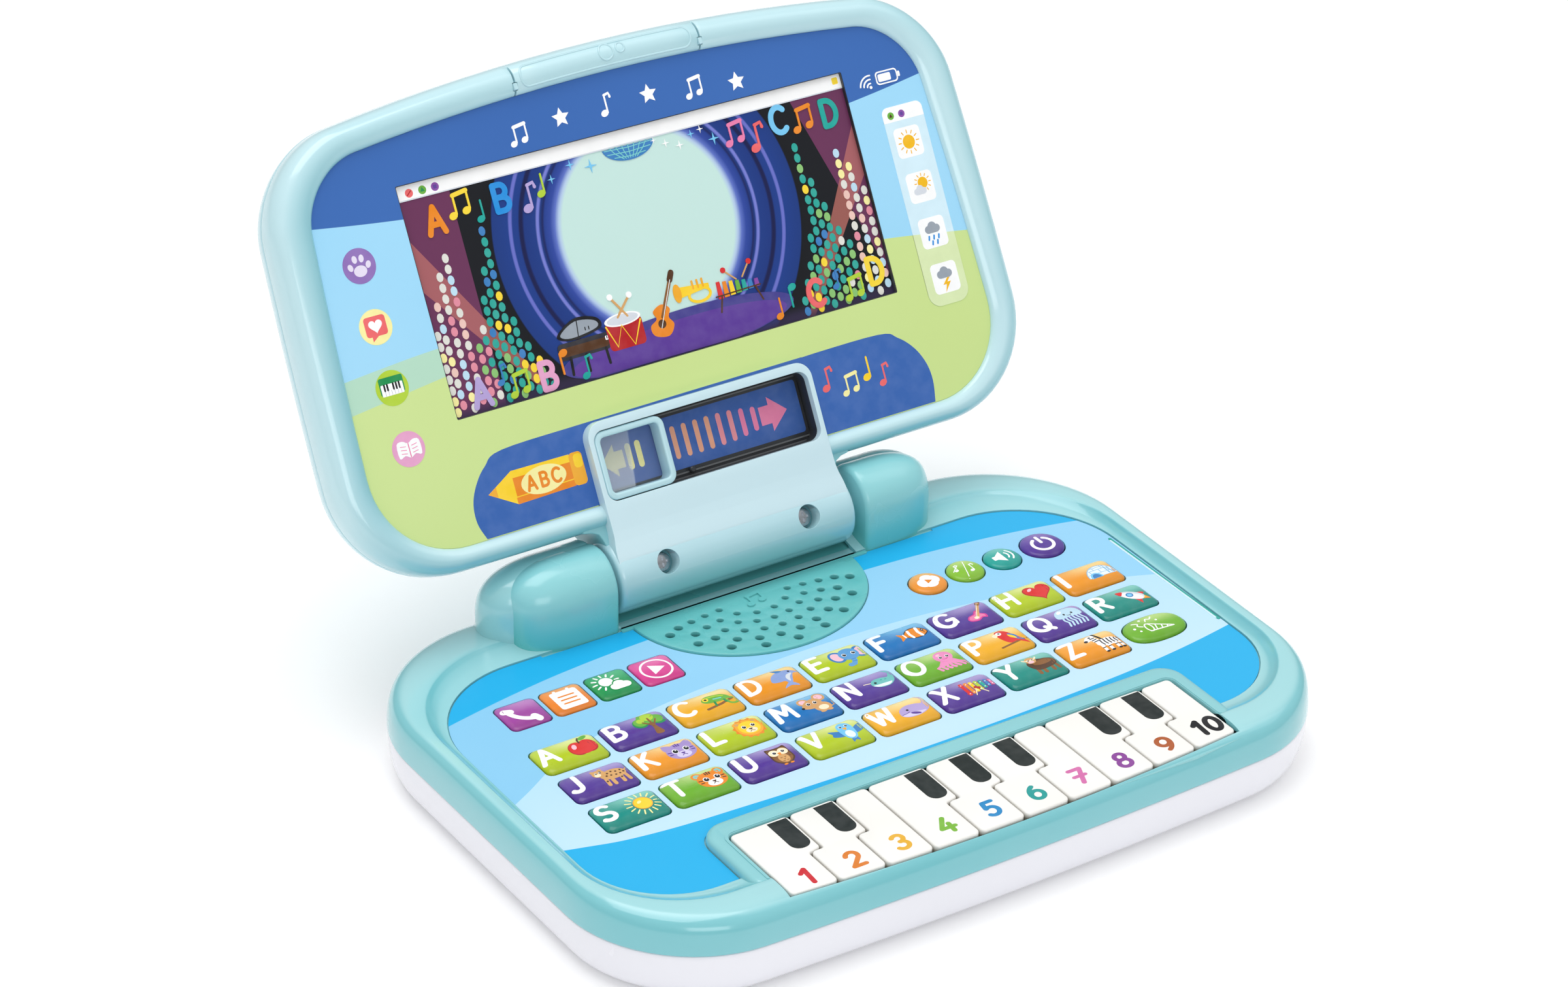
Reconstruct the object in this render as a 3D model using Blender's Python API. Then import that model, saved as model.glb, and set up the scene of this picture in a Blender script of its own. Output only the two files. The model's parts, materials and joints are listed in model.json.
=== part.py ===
"""Toy laptop computer: clamshell electronic learning toy.

A white lower tub and a teal top shell make the base, with 26 letter keys, a
party key, four application keys, four round buttons and a ten-key toy piano.
A light aqua lid turns on a pin between two knuckles; it carries a printed
panel, a picture screen and a square frame that slides along a track.

Lengths are in millimetres and become metres in the mesh builders.
Base pieces are drawn from the hinge line: x to the right, y to the back,
z up from the printed key panel.  Lid pieces are drawn from the hinge axis:
x to the right, y away from the hinge, z out of the lid's front face.
The scene origin is the middle of the underside, which rests on z = 0.
"""
import bpy
import bmesh
import math
from mathutils import Vector

MM = 0.001
SIDES = (-1, 1)         # left, right
SHARP_ANGLE = 32        # edges steeper than this are shaded sharp, degrees

# ---- driving dimensions ------------------------------------------------------
PANEL_H = 25.0          # printed key panel above the underside
HINGE_Y = 75.0          # hinge line behind the middle of the base
AXIS_H = 12.5           # hinge axis above the key panel
LID_ANGLE = 60.7        # lid above the horizontal at rest, degrees
PART_Z = -8.0           # joint line between tub and top shell
LID_PART_Z = -2.0       # joint line of the lid shells
PART_GAP = 0.35         # gap at both joint lines
PRINT_GAP = 0.35        # gap round the printed panels
BARREL_R = 12.0
BARREL_HALF = 43.8
KNUCKLE_FACE = BARREL_HALF + 0.4
PIN_R = 2.4
BORE_R = PIN_R + 0.4
BORE_HALF = 50

KEY_W, KEY_D, KEY_CORNER = 21.4, 13.6, 2.0      # letter key
KEY_PITCH, ROW_PITCH = 24.0, 17.4
KEY_X, KEY_Y = -93.6, -63.2                     # middle of the "a" key
KEYS_PER_ROW = 9
APP_Y, APP_SIZE, APP_CORNER = -37.2, 13.7, 1.8
ROUND_Y = -39.2
HOLE_GAP = 0.4

PIANO_X = 2.0                                   # middle of the keyboard
PIANO_KEYS, PIANO_PITCH = 10, 16.0
PIANO_HALF = PIANO_KEYS * PIANO_PITCH / 2
PIANO_BACK, PIANO_FRONT, PIANO_BOW = -125.2, -161.7, 3.0
SURROUND_Y, SURROUND_CORNER = -136.7, 8
SURROUND_W, SURROUND_D = 2 * (PIANO_HALF + 6), 36.6

GRILLE_HALF_W, GRILLE_D, GRILLE_Y = 41.0, 36.0, -12.8
BATTERY_Y = -97.0                               # middle of the battery bay

# Shell outlines: half width front, back; front y at side, centre;
# back y at side, centre; front, back corner radius; side bow.
# On the lid "front" is the end at the hinge.
BASE_OUT = (129.0, 132.0, -162.5, -166.5, 17.0, 17.0, 40.0, 48.0, 0.0)
BASE_IN = (119.5, 121.0, -143.4, -143.4, -11.0, -11.0, 29.0, 36.0, 0.3)
LID_OUT = (126.5, 123.0, 15.5, 15.5, 152.5, 163.2, 35.0, 27.0, 1.2)
LID_IN = (115.5, 109.8, 22.8, 22.8, 145.0, 152.9, 28.0, 19.0, 1.0)
LID_IN_FRONT = LID_IN[2]

SCREEN_X, SCREEN_Y, SCREEN_W, SCREEN_H = 0.8, 97.5, 163.2, 73.6
BLOCK_HALF_W, BLOCK_NEAR, BLOCK_FAR = 41.4, 5.0, 48.3   # raised slider block
SLIDE_Y = 34.2                                  # middle line of window and slider

# ---- colours, linear RGB -----------------------------------------------------
AQUA, TEAL, WHITE = (0.52, 0.76, 0.80), (0.16, 0.60, 0.62), (0.85, 0.85, 0.90)
LIME, PURPLE, YELLOW = (0.55, 0.72, 0.03), (0.13, 0.05, 0.30), (0.90, 0.58, 0.02)
ORANGE, BLUE = (0.88, 0.31, 0.01), (0.0, 0.20, 0.55)
GREEN, DARK_TEAL = (0.30, 0.52, 0.03), (0.0, 0.31, 0.27)

KEY_COLOURS = {
    **dict.fromkeys("aehlv", LIME), **dict.fromkeys("bgjnqux", PURPLE),
    **dict.fromkeys("cpw", YELLOW), **dict.fromkeys("dikz", ORANGE),
    **dict.fromkeys("fm", BLUE), **dict.fromkeys("ot", GREEN),
    **dict.fromkeys("rsy", DARK_TEAL), "party": GREEN,
}
# name, x, colour
APP_KEYS = (("phone", -94.6, (0.27, 0.06, 0.33)), ("notes", -78.9, (0.87, 0.25, 0.01)),
            ("weather", -63.0, (0.0, 0.30, 0.08)), ("play", -47.4, (0.75, 0.04, 0.29)))
# name, x, radius, colour
ROUND_KEYS = (("button_song", 52.8, 6.2, ORANGE), ("button_music", 67.4, 6.2, GREEN),
              ("button_volume", 81.9, 6.2, DARK_TEAL),
              ("button_power", 97.8, 7.3, (0.12, 0.05, 0.30)))


# ---- outlines ----------------------------------------------------------------
CORNER_PULL = 0.5523    # Bezier handle length that makes a quarter circle
# Steps of an outline: half front, front corner, side, back corner, half back.
FRONT_STEPS, FRONT_TURN, SIDE_STEPS, BACK_TURN, BACK_STEPS = 2, 4, 3, 5, 2


def bezier(start, handle_1, handle_2, end, count):
    """Points strictly inside a cubic from start to end."""
    points = []
    for i in range(1, count + 1):
        t = i / (count + 1)
        weights = ((1 - t) ** 3, 3 * t * (1 - t) ** 2, 3 * t * t * (1 - t), t ** 3)
        points.append(tuple(
            sum(weight * point[axis]
                for weight, point in zip(weights, (start, handle_1, handle_2, end)))
            for axis in (0, 1)))
    return points


def outline(shape, inset=0.0):
    """Closed rounded outline of a shell shape, mirrored about x = 0."""
    front_half, back_half, front_side, front_mid, back_side, back_mid = (
        value + sign * inset for value, sign in zip(shape, (-1, -1, 1, 1, -1, -1)))
    front_r, back_r = (max(radius - 0.7 * inset, 3) for radius in shape[6:8])
    bow = shape[8]

    def side(y):
        t = (y - front_side) / (back_side - front_side)
        return front_half + (back_half - front_half) * t + bow * 4 * t * (1 - t)

    def front(x):
        return front_mid + (front_side - front_mid) * (x / front_half) ** 2

    def back(x):
        return back_mid + (back_side - back_mid) * (x / back_half) ** 2

    front_x, back_x = front_half - front_r, back_half - back_r
    y_start, y_end = front_side + front_r, back_side - back_r
    front_slope = 2 * (front_side - front_mid) * front_x / front_half ** 2
    back_slope = 2 * (back_side - back_mid) * back_x / back_half ** 2
    start_lean = side(y_start + 1) - side(y_start)
    end_lean = side(y_end + 1) - side(y_end)
    front_pull, back_pull = CORNER_PULL * front_r, CORNER_PULL * back_r

    half = []
    for i in range(1, FRONT_STEPS + 1):
        x = front_x * i / FRONT_STEPS
        half.append((x, front(x)))
    half += bezier(half[-1],
                   (front_x + front_pull, front(front_x) + front_slope * front_pull),
                   (side(y_start) - start_lean * front_pull, y_start - front_pull),
                   (side(y_start), y_start), FRONT_TURN)
    for i in range(SIDE_STEPS + 1):
        y = y_start + (y_end - y_start) * i / SIDE_STEPS
        half.append((side(y), y))
    half += bezier(half[-1],
                   (side(y_end) + end_lean * back_pull, y_end + back_pull),
                   (back_x + back_pull, back(back_x) + back_slope * back_pull),
                   (back_x, back(back_x)), BACK_TURN)
    for i in range(BACK_STEPS, 0, -1):
        x = back_x * i / BACK_STEPS
        half.append((x, back(x)))
    return [(0, front_mid)] + half + [(0, back_mid)] + [(-x, y) for x, y in reversed(half)]


def between(outer, inner, share):
    """Outline part of the way from one shell shape to another."""
    return outline([a + (b - a) * share for a, b in zip(outer, inner)])


def rounded_rect(x, y, width, depth, radius, steps=1):
    """Rounded rectangle; one step makes each corner a plain chamfer."""
    points = []
    for side_x, side_y, start in ((1, -1, -90), (1, 1, 0), (-1, 1, 90), (-1, -1, 180)):
        for i in range(steps + 1):
            angle = math.radians(start + 90 * i / steps)
            points.append((x + side_x * (width / 2 - radius) + radius * math.cos(angle),
                           y + side_y * (depth / 2 - radius) + radius * math.sin(angle)))
    return points


def circle(x, y, radius, count, phase=0.0):
    angles = [2 * math.pi * (i + phase) / count for i in range(count)]
    return [(x + radius * math.cos(a), y + radius * math.sin(a)) for a in angles]


def party_oval(x, y, width, depth, count=12):
    """Squared-off oval of the party key."""
    points = []
    for unit_x, unit_y in circle(0, 0, 1, count, 0.5):
        points.append((x + width / 2 * math.copysign(abs(unit_x) ** 0.8, unit_x),
                       y + depth / 2 * math.copysign(abs(unit_y) ** 0.8, unit_y)))
    return points


# ---- solids ------------------------------------------------------------------
def mesh_object(bm, name):
    bmesh.ops.remove_doubles(bm, verts=bm.verts, dist=1e-6)
    bmesh.ops.recalc_face_normals(bm, faces=bm.faces)
    mesh = bpy.data.meshes.new(name)
    bm.to_mesh(mesh)
    bm.free()
    piece = bpy.data.objects.new(name, mesh)
    bpy.context.scene.collection.objects.link(piece)
    return piece


def loft(name, rings, loop=False):
    """Skin rings of (x, y, z); ends are capped unless the rings form a loop."""
    bm = bmesh.new()
    loops = [[bm.verts.new((x * MM, y * MM, z * MM)) for x, y, z in ring] for ring in rings]
    pairs = list(zip(loops, loops[1:]))
    if loop:
        pairs.append((loops[-1], loops[0]))
    for near, far in pairs:
        for i in range(len(near)):
            j = (i + 1) % len(near)
            bm.faces.new((near[i], near[j], far[j], far[i]))
    if not loop:
        bm.faces.new(list(reversed(loops[0])))
        bm.faces.new(loops[-1])
    return mesh_object(bm, name)


def at_z(ring, z):
    return [(x, y, z) for x, y in ring]


def at_x(section, x):
    """A (y, z) section placed at x."""
    return [(x, y, z) for y, z in section]


def plate(name, outer, holes, z_low, z_high):
    """Flat plate with holes: filled once, then extruded."""
    bm = bmesh.new()
    for points in [outer] + holes:
        verts = [bm.verts.new((x * MM, y * MM, z_low * MM)) for x, y in points]
        for i in range(len(verts)):
            bm.edges.new((verts[i], verts[(i + 1) % len(verts)]))
    bmesh.ops.triangle_fill(bm, use_beauty=True, use_dissolve=False, edges=bm.edges[:],
                            normal=(0, 0, 1))
    extruded = bmesh.ops.extrude_face_region(bm, geom=bm.faces[:])
    top = [item for item in extruded["geom"] if isinstance(item, bmesh.types.BMVert)]
    bmesh.ops.translate(bm, verts=top, vec=(0, 0, (z_high - z_low) * MM))
    return mesh_object(bm, name)


def prism(name, ring, z_low, z_high):
    return loft(name, [at_z(ring, z_low), at_z(ring, z_high)])


def prism_x(name, section, x_left, x_right):
    return loft(name, [at_x(section, x_left), at_x(section, x_right)])


def box(name, x_span, y_span, z_span):
    (left, right), (front, back) = x_span, y_span
    return prism(name, [(left, front), (right, front), (right, back), (left, back)], *z_span)


def centred_box(name, x, y, half_w, half_d, z_span):
    return box(name, (x - half_w, x + half_w), (y - half_d, y + half_d), z_span)


def rod_x(name, x_left, x_right, y, z, radius, count):
    return prism_x(name, circle(y, z, radius, count, 0.5), x_left, x_right)


def rod_z(name, x, y, z_low, z_high, radius, count):
    return prism(name, circle(x, y, radius, count, 0.5), z_low, z_high)


def raised_block(name, x, y, width, depth, corner, steps):
    """Rounded block from (inset, z) steps."""
    return loft(name, [at_z(rounded_rect(x, y, width - 2 * inset, depth - 2 * inset,
                                         corner - inset, 3), z) for inset, z in steps])


def rim(name, outer, inner, profile):
    """Closed ring shell from (share from outer to inner shape, z) stations."""
    return loft(name, [at_z(between(outer, inner, share), z) for share, z in profile], loop=True)


def tray(name, shape, profile):
    """Open tray from (inset, z) stations, inside first."""
    return loft(name, [at_z(outline(shape, inset), z) for inset, z in profile])


def combine(piece, other, operation):
    """Boolean with the exact solver, applied; the second object is used up."""
    modifier = piece.modifiers.new(operation.lower(), "BOOLEAN")
    modifier.operation, modifier.solver, modifier.object = operation, "EXACT", other
    graph = bpy.context.evaluated_depsgraph_get()
    mesh = bpy.data.meshes.new_from_object(piece.evaluated_get(graph), depsgraph=graph)
    piece.modifiers.clear()
    old = piece.data
    piece.data = mesh
    bpy.data.meshes.remove(old)
    bpy.data.objects.remove(other, do_unlink=True)
    bm = bmesh.new()
    bm.from_mesh(mesh)
    bmesh.ops.remove_doubles(bm, verts=bm.verts, dist=2e-6)
    bmesh.ops.dissolve_degenerate(bm, edges=bm.edges, dist=1e-6)
    bm.to_mesh(mesh)
    bm.free()


def join(piece, *others):
    for other in others:
        combine(piece, other, "UNION")


def cut(piece, *others):
    for other in others:
        combine(piece, other, "DIFFERENCE")


def finish(piece, parent, colour, roughness, metallic=0.0, pivot=None):
    """Material, shading and parent; pivot moves the origin to a joint or key centre."""
    material = bpy.data.materials.new(piece.name)
    material.use_nodes = True
    inputs = material.node_tree.nodes["Principled BSDF"].inputs
    inputs["Base Color"].default_value = (*colour, 1)
    inputs["Roughness"].default_value = roughness
    inputs["Metallic"].default_value = metallic
    piece.data.materials.clear()
    piece.data.materials.append(material)
    if pivot:
        origin = Vector(pivot) * MM
        for vert in piece.data.vertices:
            vert.co -= origin
        piece.location = origin
    piece.data.shade_smooth()
    piece.data.set_sharp_from_angle(angle=math.radians(SHARP_ANGLE))
    piece.parent = parent


def empty(name, z, angle=0.0):
    """Parent frame on the hinge line, tilted about x."""
    frame = bpy.data.objects.new(name, None)
    frame.location = (0, HINGE_Y * MM, z * MM)
    frame.rotation_euler = (math.radians(angle), 0, 0)
    bpy.context.scene.collection.objects.link(frame)
    return frame


# ---- base top shell and key panel --------------------------------------------
# share from BASE_OUT to BASE_IN, z: over the outside, then back underneath
TOP_PROFILE = (
    (0, PART_Z), (0.015, -4.5), (0.05, -1.2), (0.13, 1.3), (0.27, 2.7), (0.45, 3.3),
    (0.65, 3.4), (0.84, 2.9), (0.95, 1.9), (1.0, 0.4), (1.0, -2.6),
    (0.86, -2.6), (0.84, 0.2), (0.65, 1.3), (0.4, 1.1), (0.24, -0.6), (0.17, -3.5),
    (0.15, PART_Z))
SURROUND_STEPS = ((0, -2.2), (0.4, 1.6), (1.4, 2.5), (2.4, 2.7))    # inset, z

# Knuckles: inner x, outer x, middle y, radius, foot z, drop below the hinge axis
KNUCKLES = ((43.0, 72.5, 0.0, BARREL_R, -4.0, 0.0), (43.0, 77.5, 3.6, 13.3, -4.3, 0.4))
KNUCKLE_CAVITY = (46.8, 68.5, 0.6, 9.4, -14.0, 0.0)
# share of the length, scale of the section
ROUNDED_END = ((0, 1), (0.45, 1), (0.7, 0.95), (0.88, 0.78), (1, 0.42))
FLAT_END = ((0, 1), (1, 1))

# arc radius, hole count, hole radius
GRILLE_ROWS = ((12.5, 6, 0.95), (17.5, 9, 0.95), (22.5, 11, 1.05), (27.5, 12, 1.25),
               (32.0, 9, 1.35))
GRILLE_START, GRILLE_SWEEP = 188, 164                   # degrees
GRILLE_STRETCH_X, GRILLE_STRETCH_Y, GRILLE_SHIFT = 1.1, 0.96, -1.2


def letter_keys():
    """(name, x, y) of the letter keys and the party key, row by row from the back."""
    names = [chr(ord("a") + i) for i in range(26)] + ["party"]
    return [(name, KEY_X + KEY_PITCH * (i % KEYS_PER_ROW), KEY_Y - ROW_PITCH * (i // KEYS_PER_ROW))
            for i, name in enumerate(names)]


def key_holes():
    grow = 2 * HOLE_GAP
    holes = []
    for name, x, y in letter_keys():
        if name == "party":
            holes.append(party_oval(x, y, KEY_W + grow, KEY_D + grow))
        else:
            holes.append(rounded_rect(x, y, KEY_W + grow, KEY_D + grow, KEY_CORNER + HOLE_GAP))
    for _, x, _ in APP_KEYS:
        size = APP_SIZE + grow
        holes.append(rounded_rect(x, APP_Y, size, size, APP_CORNER + HOLE_GAP))
    for _, x, radius, _ in ROUND_KEYS:
        holes.append(circle(x, ROUND_Y, radius + HOLE_GAP, 12))
    return holes


def knuckle(side, shape, stations=ROUNDED_END):
    """Half round on top with straight walls down, run outwards along x."""
    inner_x, outer_x, middle, radius, foot, drop = shape
    section = [(middle - radius, foot)]
    for i in range(9):
        angle = math.pi - math.pi * i / 8
        section.append((middle + radius * math.cos(angle),
                        AXIS_H - drop + radius * math.sin(angle)))
    section.append((middle + radius, foot))
    rings = []
    for share, scale in stations:
        scaled = [(middle + (y - middle) * scale, foot + (z - foot) * (0.25 + 0.75 * scale))
                  for y, z in section]
        rings.append(at_x(scaled, side * (inner_x + (outer_x - inner_x) * share)))
    return loft("knuckle", rings)


def grille_outline(offset=0.0, steps=14):
    """Half ellipse, flat side to the hinge."""
    angles = [math.pi + math.pi * i / steps for i in range(steps + 1)]
    return [((GRILLE_HALF_W + offset) * math.cos(a), GRILLE_Y + (GRILLE_D + offset) * math.sin(a))
            for a in angles]


def grille_holes():
    """Sound holes on arcs about the middle of the straight side."""
    holes = []
    for arc_radius, count, hole_radius in GRILLE_ROWS:
        for i in range(count):
            angle = math.radians(GRILLE_START + GRILLE_SWEEP * (i + 0.5) / count)
            x = arc_radius * GRILLE_STRETCH_X * math.cos(angle)
            y = GRILLE_Y + GRILLE_SHIFT + arc_radius * GRILLE_STRETCH_Y * math.sin(angle)
            holes.append(circle(x, y, hole_radius, 6))
    return holes


def piano_front(x):
    return PIANO_FRONT + PIANO_BOW * ((x - PIANO_X) / PIANO_HALF) ** 2


def piano_opening():
    gap, corner_x, corner_y, steps = 0.6, 2.0, 3.0, 10
    half, back = PIANO_HALF + gap, PIANO_BACK + gap
    ring = [(PIANO_X - half, back - corner_y), (PIANO_X - half + corner_x, back),
            (PIANO_X + half - corner_x, back), (PIANO_X + half, back - corner_y)]
    for i in range(steps + 1):
        x = PIANO_X + half * (1 - 2 * i / steps)
        ring.append((x, piano_front(x) - gap))
    return prism("opening", ring, -6.5, 12)


def base_top_shell(base):
    top = rim("base_top_shell", BASE_OUT, BASE_IN, TOP_PROFILE)
    join(top,
         plate("deck", between(BASE_OUT, BASE_IN, 0.95), key_holes() + [grille_outline(-1.5)],
               -2.4, -0.5),
         plate("grille", grille_outline(), grille_holes(), -2.1, 0.8),
         # floor under the hinge barrel
         box("floor", (-46, 46), (-14.5, 14.2), (-2.7, -0.3)),
         raised_block("surround", PIANO_X, SURROUND_Y, SURROUND_W, SURROUND_D,
                      SURROUND_CORNER, SURROUND_STEPS))
    join(top, *[knuckle(side, shape) for side in SIDES for shape in KNUCKLES])
    cut(top, *[knuckle(side, KNUCKLE_CAVITY, FLAT_END) for side in SIDES])
    cut(top,
        box("barrel_gap", (-KNUCKLE_FACE, KNUCKLE_FACE), (GRILLE_Y, 30), (-0.6, 45)),
        rod_x("bore", -BORE_HALF, BORE_HALF, 0, AXIS_H, BORE_R, 12),
        piano_opening())
    finish(top, base, TEAL, roughness=0.22)


def keypad_overlay(base):
    """Printed film, cut clear of the piano surround and the hinge."""
    film = plate("keypad_overlay", outline(BASE_IN, PRINT_GAP),
                 key_holes() + [grille_outline(0.3)], -0.2, 0.0)
    surround = rounded_rect(PIANO_X, SURROUND_Y, SURROUND_W + 2 * PRINT_GAP,
                            SURROUND_D + 2 * PRINT_GAP, SURROUND_CORNER + 0.3, 3)
    cut(film, prism("film_piano", surround, -2, 2),
        box("film_hinge", (-73.4, 73.4), (-12.4, 0), (-2, 2)))
    finish(film, base, (0.35, 0.75, 0.93), roughness=0.3)


# ---- tub and battery bay -----------------------------------------------------
# inset from BASE_OUT, z
TUB_PROFILE = (
    (11, -22.8), (6, -22.4), (3.6, -20), (2.4, -14), (2.2, PART_Z - PART_GAP),
    (0, PART_Z - PART_GAP), (0.2, -13), (1.0, -18), (2.6, -21.8), (5.5, -24.2), (9, -PANEL_H))
POSTS = ((112, -58), (111, -122), (84, 3))      # x (mirrored), y
POST_R = 3.2
TUB_FLOOR = -23.4       # foot of the posts and bay walls, inside the tub floor
DOOR_HALF_W, DOOR_HALF_D, DOOR_TOP, DOOR_GAP = 31, 18, -22.85, 0.3

BATTERY_R, BATTERY_HALF = 7.0, 24.6
BATTERY_OFFSET, BATTERY_SHIFT, BATTERY_Z = 7.5, -0.6, -14.95
TERMINAL_R, TERMINAL_ENDS = 2.6, (24.0, 25.6)


def base_bottom_shell(base):
    tub = tray("base_bottom_shell", BASE_OUT, TUB_PROFILE)
    join(tub, centred_box("bay", 0, BATTERY_Y, 33, 20, (TUB_FLOOR, -8.6)))
    cut(tub, centred_box("bay_inside", 0, BATTERY_Y, 29.2, 15.7, (-24, -7)),
        centred_box("door_hole", 0, BATTERY_Y, DOOR_HALF_W + DOOR_GAP, DOOR_HALF_D + DOOR_GAP,
                    (-26, DOOR_TOP + DOOR_GAP)))
    for x, y in POSTS:
        for side in (1, -1):
            join(tub, rod_z("post", side * x, y, TUB_FLOOR, -9.0, POST_R, 8))
    finish(tub, base, WHITE, roughness=0.3)


def battery_door(base):
    door = centred_box("battery_door", 0, BATTERY_Y, DOOR_HALF_W, DOOR_HALF_D,
                       (-PANEL_H, DOOR_TOP))
    join(door, box("latch", (-5, 5), (BATTERY_Y + 12.6, BATTERY_Y + 14.6), (-23.4, -19.5)))
    finish(door, base, WHITE, roughness=0.35)


def batteries(base):
    """Two cells side by side, terminals at opposite ends."""
    for i, side in enumerate(SIDES):
        y = BATTERY_Y + side * BATTERY_OFFSET + BATTERY_SHIFT
        cell = rod_x(f"battery_{i + 1}", -BATTERY_HALF, BATTERY_HALF, y, BATTERY_Z, BATTERY_R, 16)
        ends = sorted(side * end for end in TERMINAL_ENDS)
        join(cell, rod_x("terminal", *ends, y, BATTERY_Z, TERMINAL_R, 10))
        finish(cell, base, (0.08, 0.09, 0.1), roughness=0.35, metallic=0.5)


# ---- parts inside the base, and the hinge pin --------------------------------
BOARD = ((-104, -150), (-84, -156.5), (84, -156.5), (104, -150), (104, -28), (27, -28),
         (27, -51), (-27, -51), (-27, -28), (-104, -28))        # x, y
SPEAKER_Y = -30.0
# radius, z from the middle of the cone out and down to the foot
SPEAKER_PROFILE = ((0.6, -5.6), (6, -5.2), (14.5, -3.2), (17.5, -3.0), (17.5, -4.6),
                   (12.5, -8.2), (9.5, -8.4), (9.5, -12.0), (0.6, -12.0))
PIN_HALF = 57


def inner_parts(base):
    board = plate("main_circuit_board", list(BOARD), [], -7.3, -5.7)
    finish(board, base, (0.03, 0.22, 0.09), roughness=0.45)
    speaker = loft("speaker", [at_z(circle(0, SPEAKER_Y, radius, 20), z)
                               for radius, z in SPEAKER_PROFILE])
    finish(speaker, base, (0.06, 0.06, 0.07), roughness=0.5, metallic=0.3)
    pin = rod_x("hinge_pin", -PIN_HALF, PIN_HALF, 0, AXIS_H, PIN_R, 12)
    finish(pin, base, (0.6, 0.6, 0.62), roughness=0.3, metallic=1.0)


# ---- keys --------------------------------------------------------------------
KEY_FOOT = -4.3


def domed_key(name, base, x, y, ring, colour, edge, high):
    """Key cap domed from z = edge to high; ring(inset) gives its outline."""
    key = loft(name, [at_z(ring(0), KEY_FOOT), at_z(ring(0), edge),
                      at_z(ring(0.9), edge + 0.75 * (high - edge)), at_z(ring(2.8), high)])
    finish(key, base, colour, roughness=0.15, pivot=(x, y, 0))


def panel_keys(base):
    for name, x, y in letter_keys():
        if name == "party":
            full_name = "party_key"

            def ring(inset):
                return party_oval(x, y, KEY_W - 2 * inset, KEY_D - 2 * inset)
        else:
            full_name = "letter_key_" + name

            def ring(inset):
                return rounded_rect(x, y, KEY_W - 2 * inset, KEY_D - 2 * inset,
                                    max(KEY_CORNER - 0.2 * inset, 1))
        domed_key(full_name, base, x, y, ring, KEY_COLOURS[name], edge=0.7, high=2.1)

    for name, x, colour in APP_KEYS:
        def ring(inset):
            size = APP_SIZE - 2 * inset
            return rounded_rect(x, APP_Y, size, size, APP_CORNER)
        domed_key("app_key_" + name, base, x, APP_Y, ring, colour, edge=0.5, high=1.4)

    for name, x, radius, colour in ROUND_KEYS:
        def ring(inset):
            return circle(x, ROUND_Y, radius - inset, 12)
        domed_key(name, base, x, ROUND_Y, ring, colour, edge=0.6, high=1.8)


# ---- piano keys --------------------------------------------------------------
PIANO_JOG_Y, PIANO_JOG = -143.6, 4.5    # behind this y some joints step right
JOG_AFTER = (1, 2, 4, 5, 6, 8, 9)       # keys followed by a stepped joint
JOG_BEVEL, BACK_BEVEL = 0.6, 1.2
SIDE_GAP = 0.25
PIANO_FOOT, PIANO_TOP = -3.2, 1.2
PIVOT_Y, PIVOT_Z = -116.5, -4.0


def piano_key(number, base):
    """Key with an arm back to its pivot; stepped sides interlock."""
    left = PIANO_X - PIANO_HALF + (number - 1) * PIANO_PITCH
    right = PIANO_X - PIANO_HALF + number * PIANO_PITCH
    back_left = left + (PIANO_JOG if number - 1 in JOG_AFTER else 0)
    back_right = right + (PIANO_JOG if number in JOG_AFTER else 0)
    middle = (left + right) / 2
    jog_front, jog_back = PIANO_JOG_Y - SIDE_GAP, PIANO_JOG_Y + SIDE_GAP

    ring = [(left + SIDE_GAP, piano_front(left)), (middle, piano_front(middle)),
            (right - SIDE_GAP, piano_front(right))]
    if back_right != right:
        ring += [(right - SIDE_GAP, jog_front - JOG_BEVEL), (right + JOG_BEVEL, jog_back),
                 (back_right - SIDE_GAP, jog_back)]
    ring += [(back_right - SIDE_GAP, PIANO_BACK - BACK_BEVEL),
             (back_right - SIDE_GAP - BACK_BEVEL, PIANO_BACK),
             (back_left + SIDE_GAP + BACK_BEVEL, PIANO_BACK),
             (back_left + SIDE_GAP, PIANO_BACK - BACK_BEVEL)]
    if back_left != left:
        ring += [(back_left + SIDE_GAP, jog_front), (left + JOG_BEVEL + SIDE_GAP, jog_front),
                 (left + SIDE_GAP, jog_front - JOG_BEVEL)]

    key = prism(f"piano_key_{number:02d}", ring, PIANO_FOOT, PIANO_TOP)
    arm_x = (back_left + back_right) / 2
    join(key, box("arm", (arm_x - 4, arm_x + 4), (PIANO_BACK - 6, PIVOT_Y + 1.2), (-4.9, -3.0)))
    finish(key, base, (0.9, 0.89, 0.87), roughness=0.2, pivot=(arm_x, PIVOT_Y, PIVOT_Z))


# ---- lid ---------------------------------------------------------------------
# share from LID_OUT to LID_IN, z: over the outside, then back underneath
LID_PROFILE = (
    (0, LID_PART_Z), (0.0, 1.0), (0.05, 4.0), (0.15, 6.2), (0.3, 7.6), (0.5, 8.3),
    (0.7, 8.2), (0.87, 7.5), (0.97, 6.6), (1.0, 5.9), (1.0, 0.8),
    (0.86, 0.8), (0.85, 5.0), (0.65, 6.2), (0.4, 6.0), (0.22, 4.2), (0.15, 1.0),
    (0.15, LID_PART_Z))
# inset from LID_OUT, z
COVER_PROFILE = (
    (12.5, -10.2), (6.5, -9.8), (3.6, -8.2), (2.2, -5), (2.0, LID_PART_Z - PART_GAP),
    (0, LID_PART_Z - PART_GAP), (0.2, -5), (1.2, -8), (3.2, -10.3), (6.5, -11.6), (12, -12.2))
BLOCK_STEPS = ((0, 1.4), (0, 8.7), (0.4, 9.5), (1.1, 9.8))      # inset, z
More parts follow.
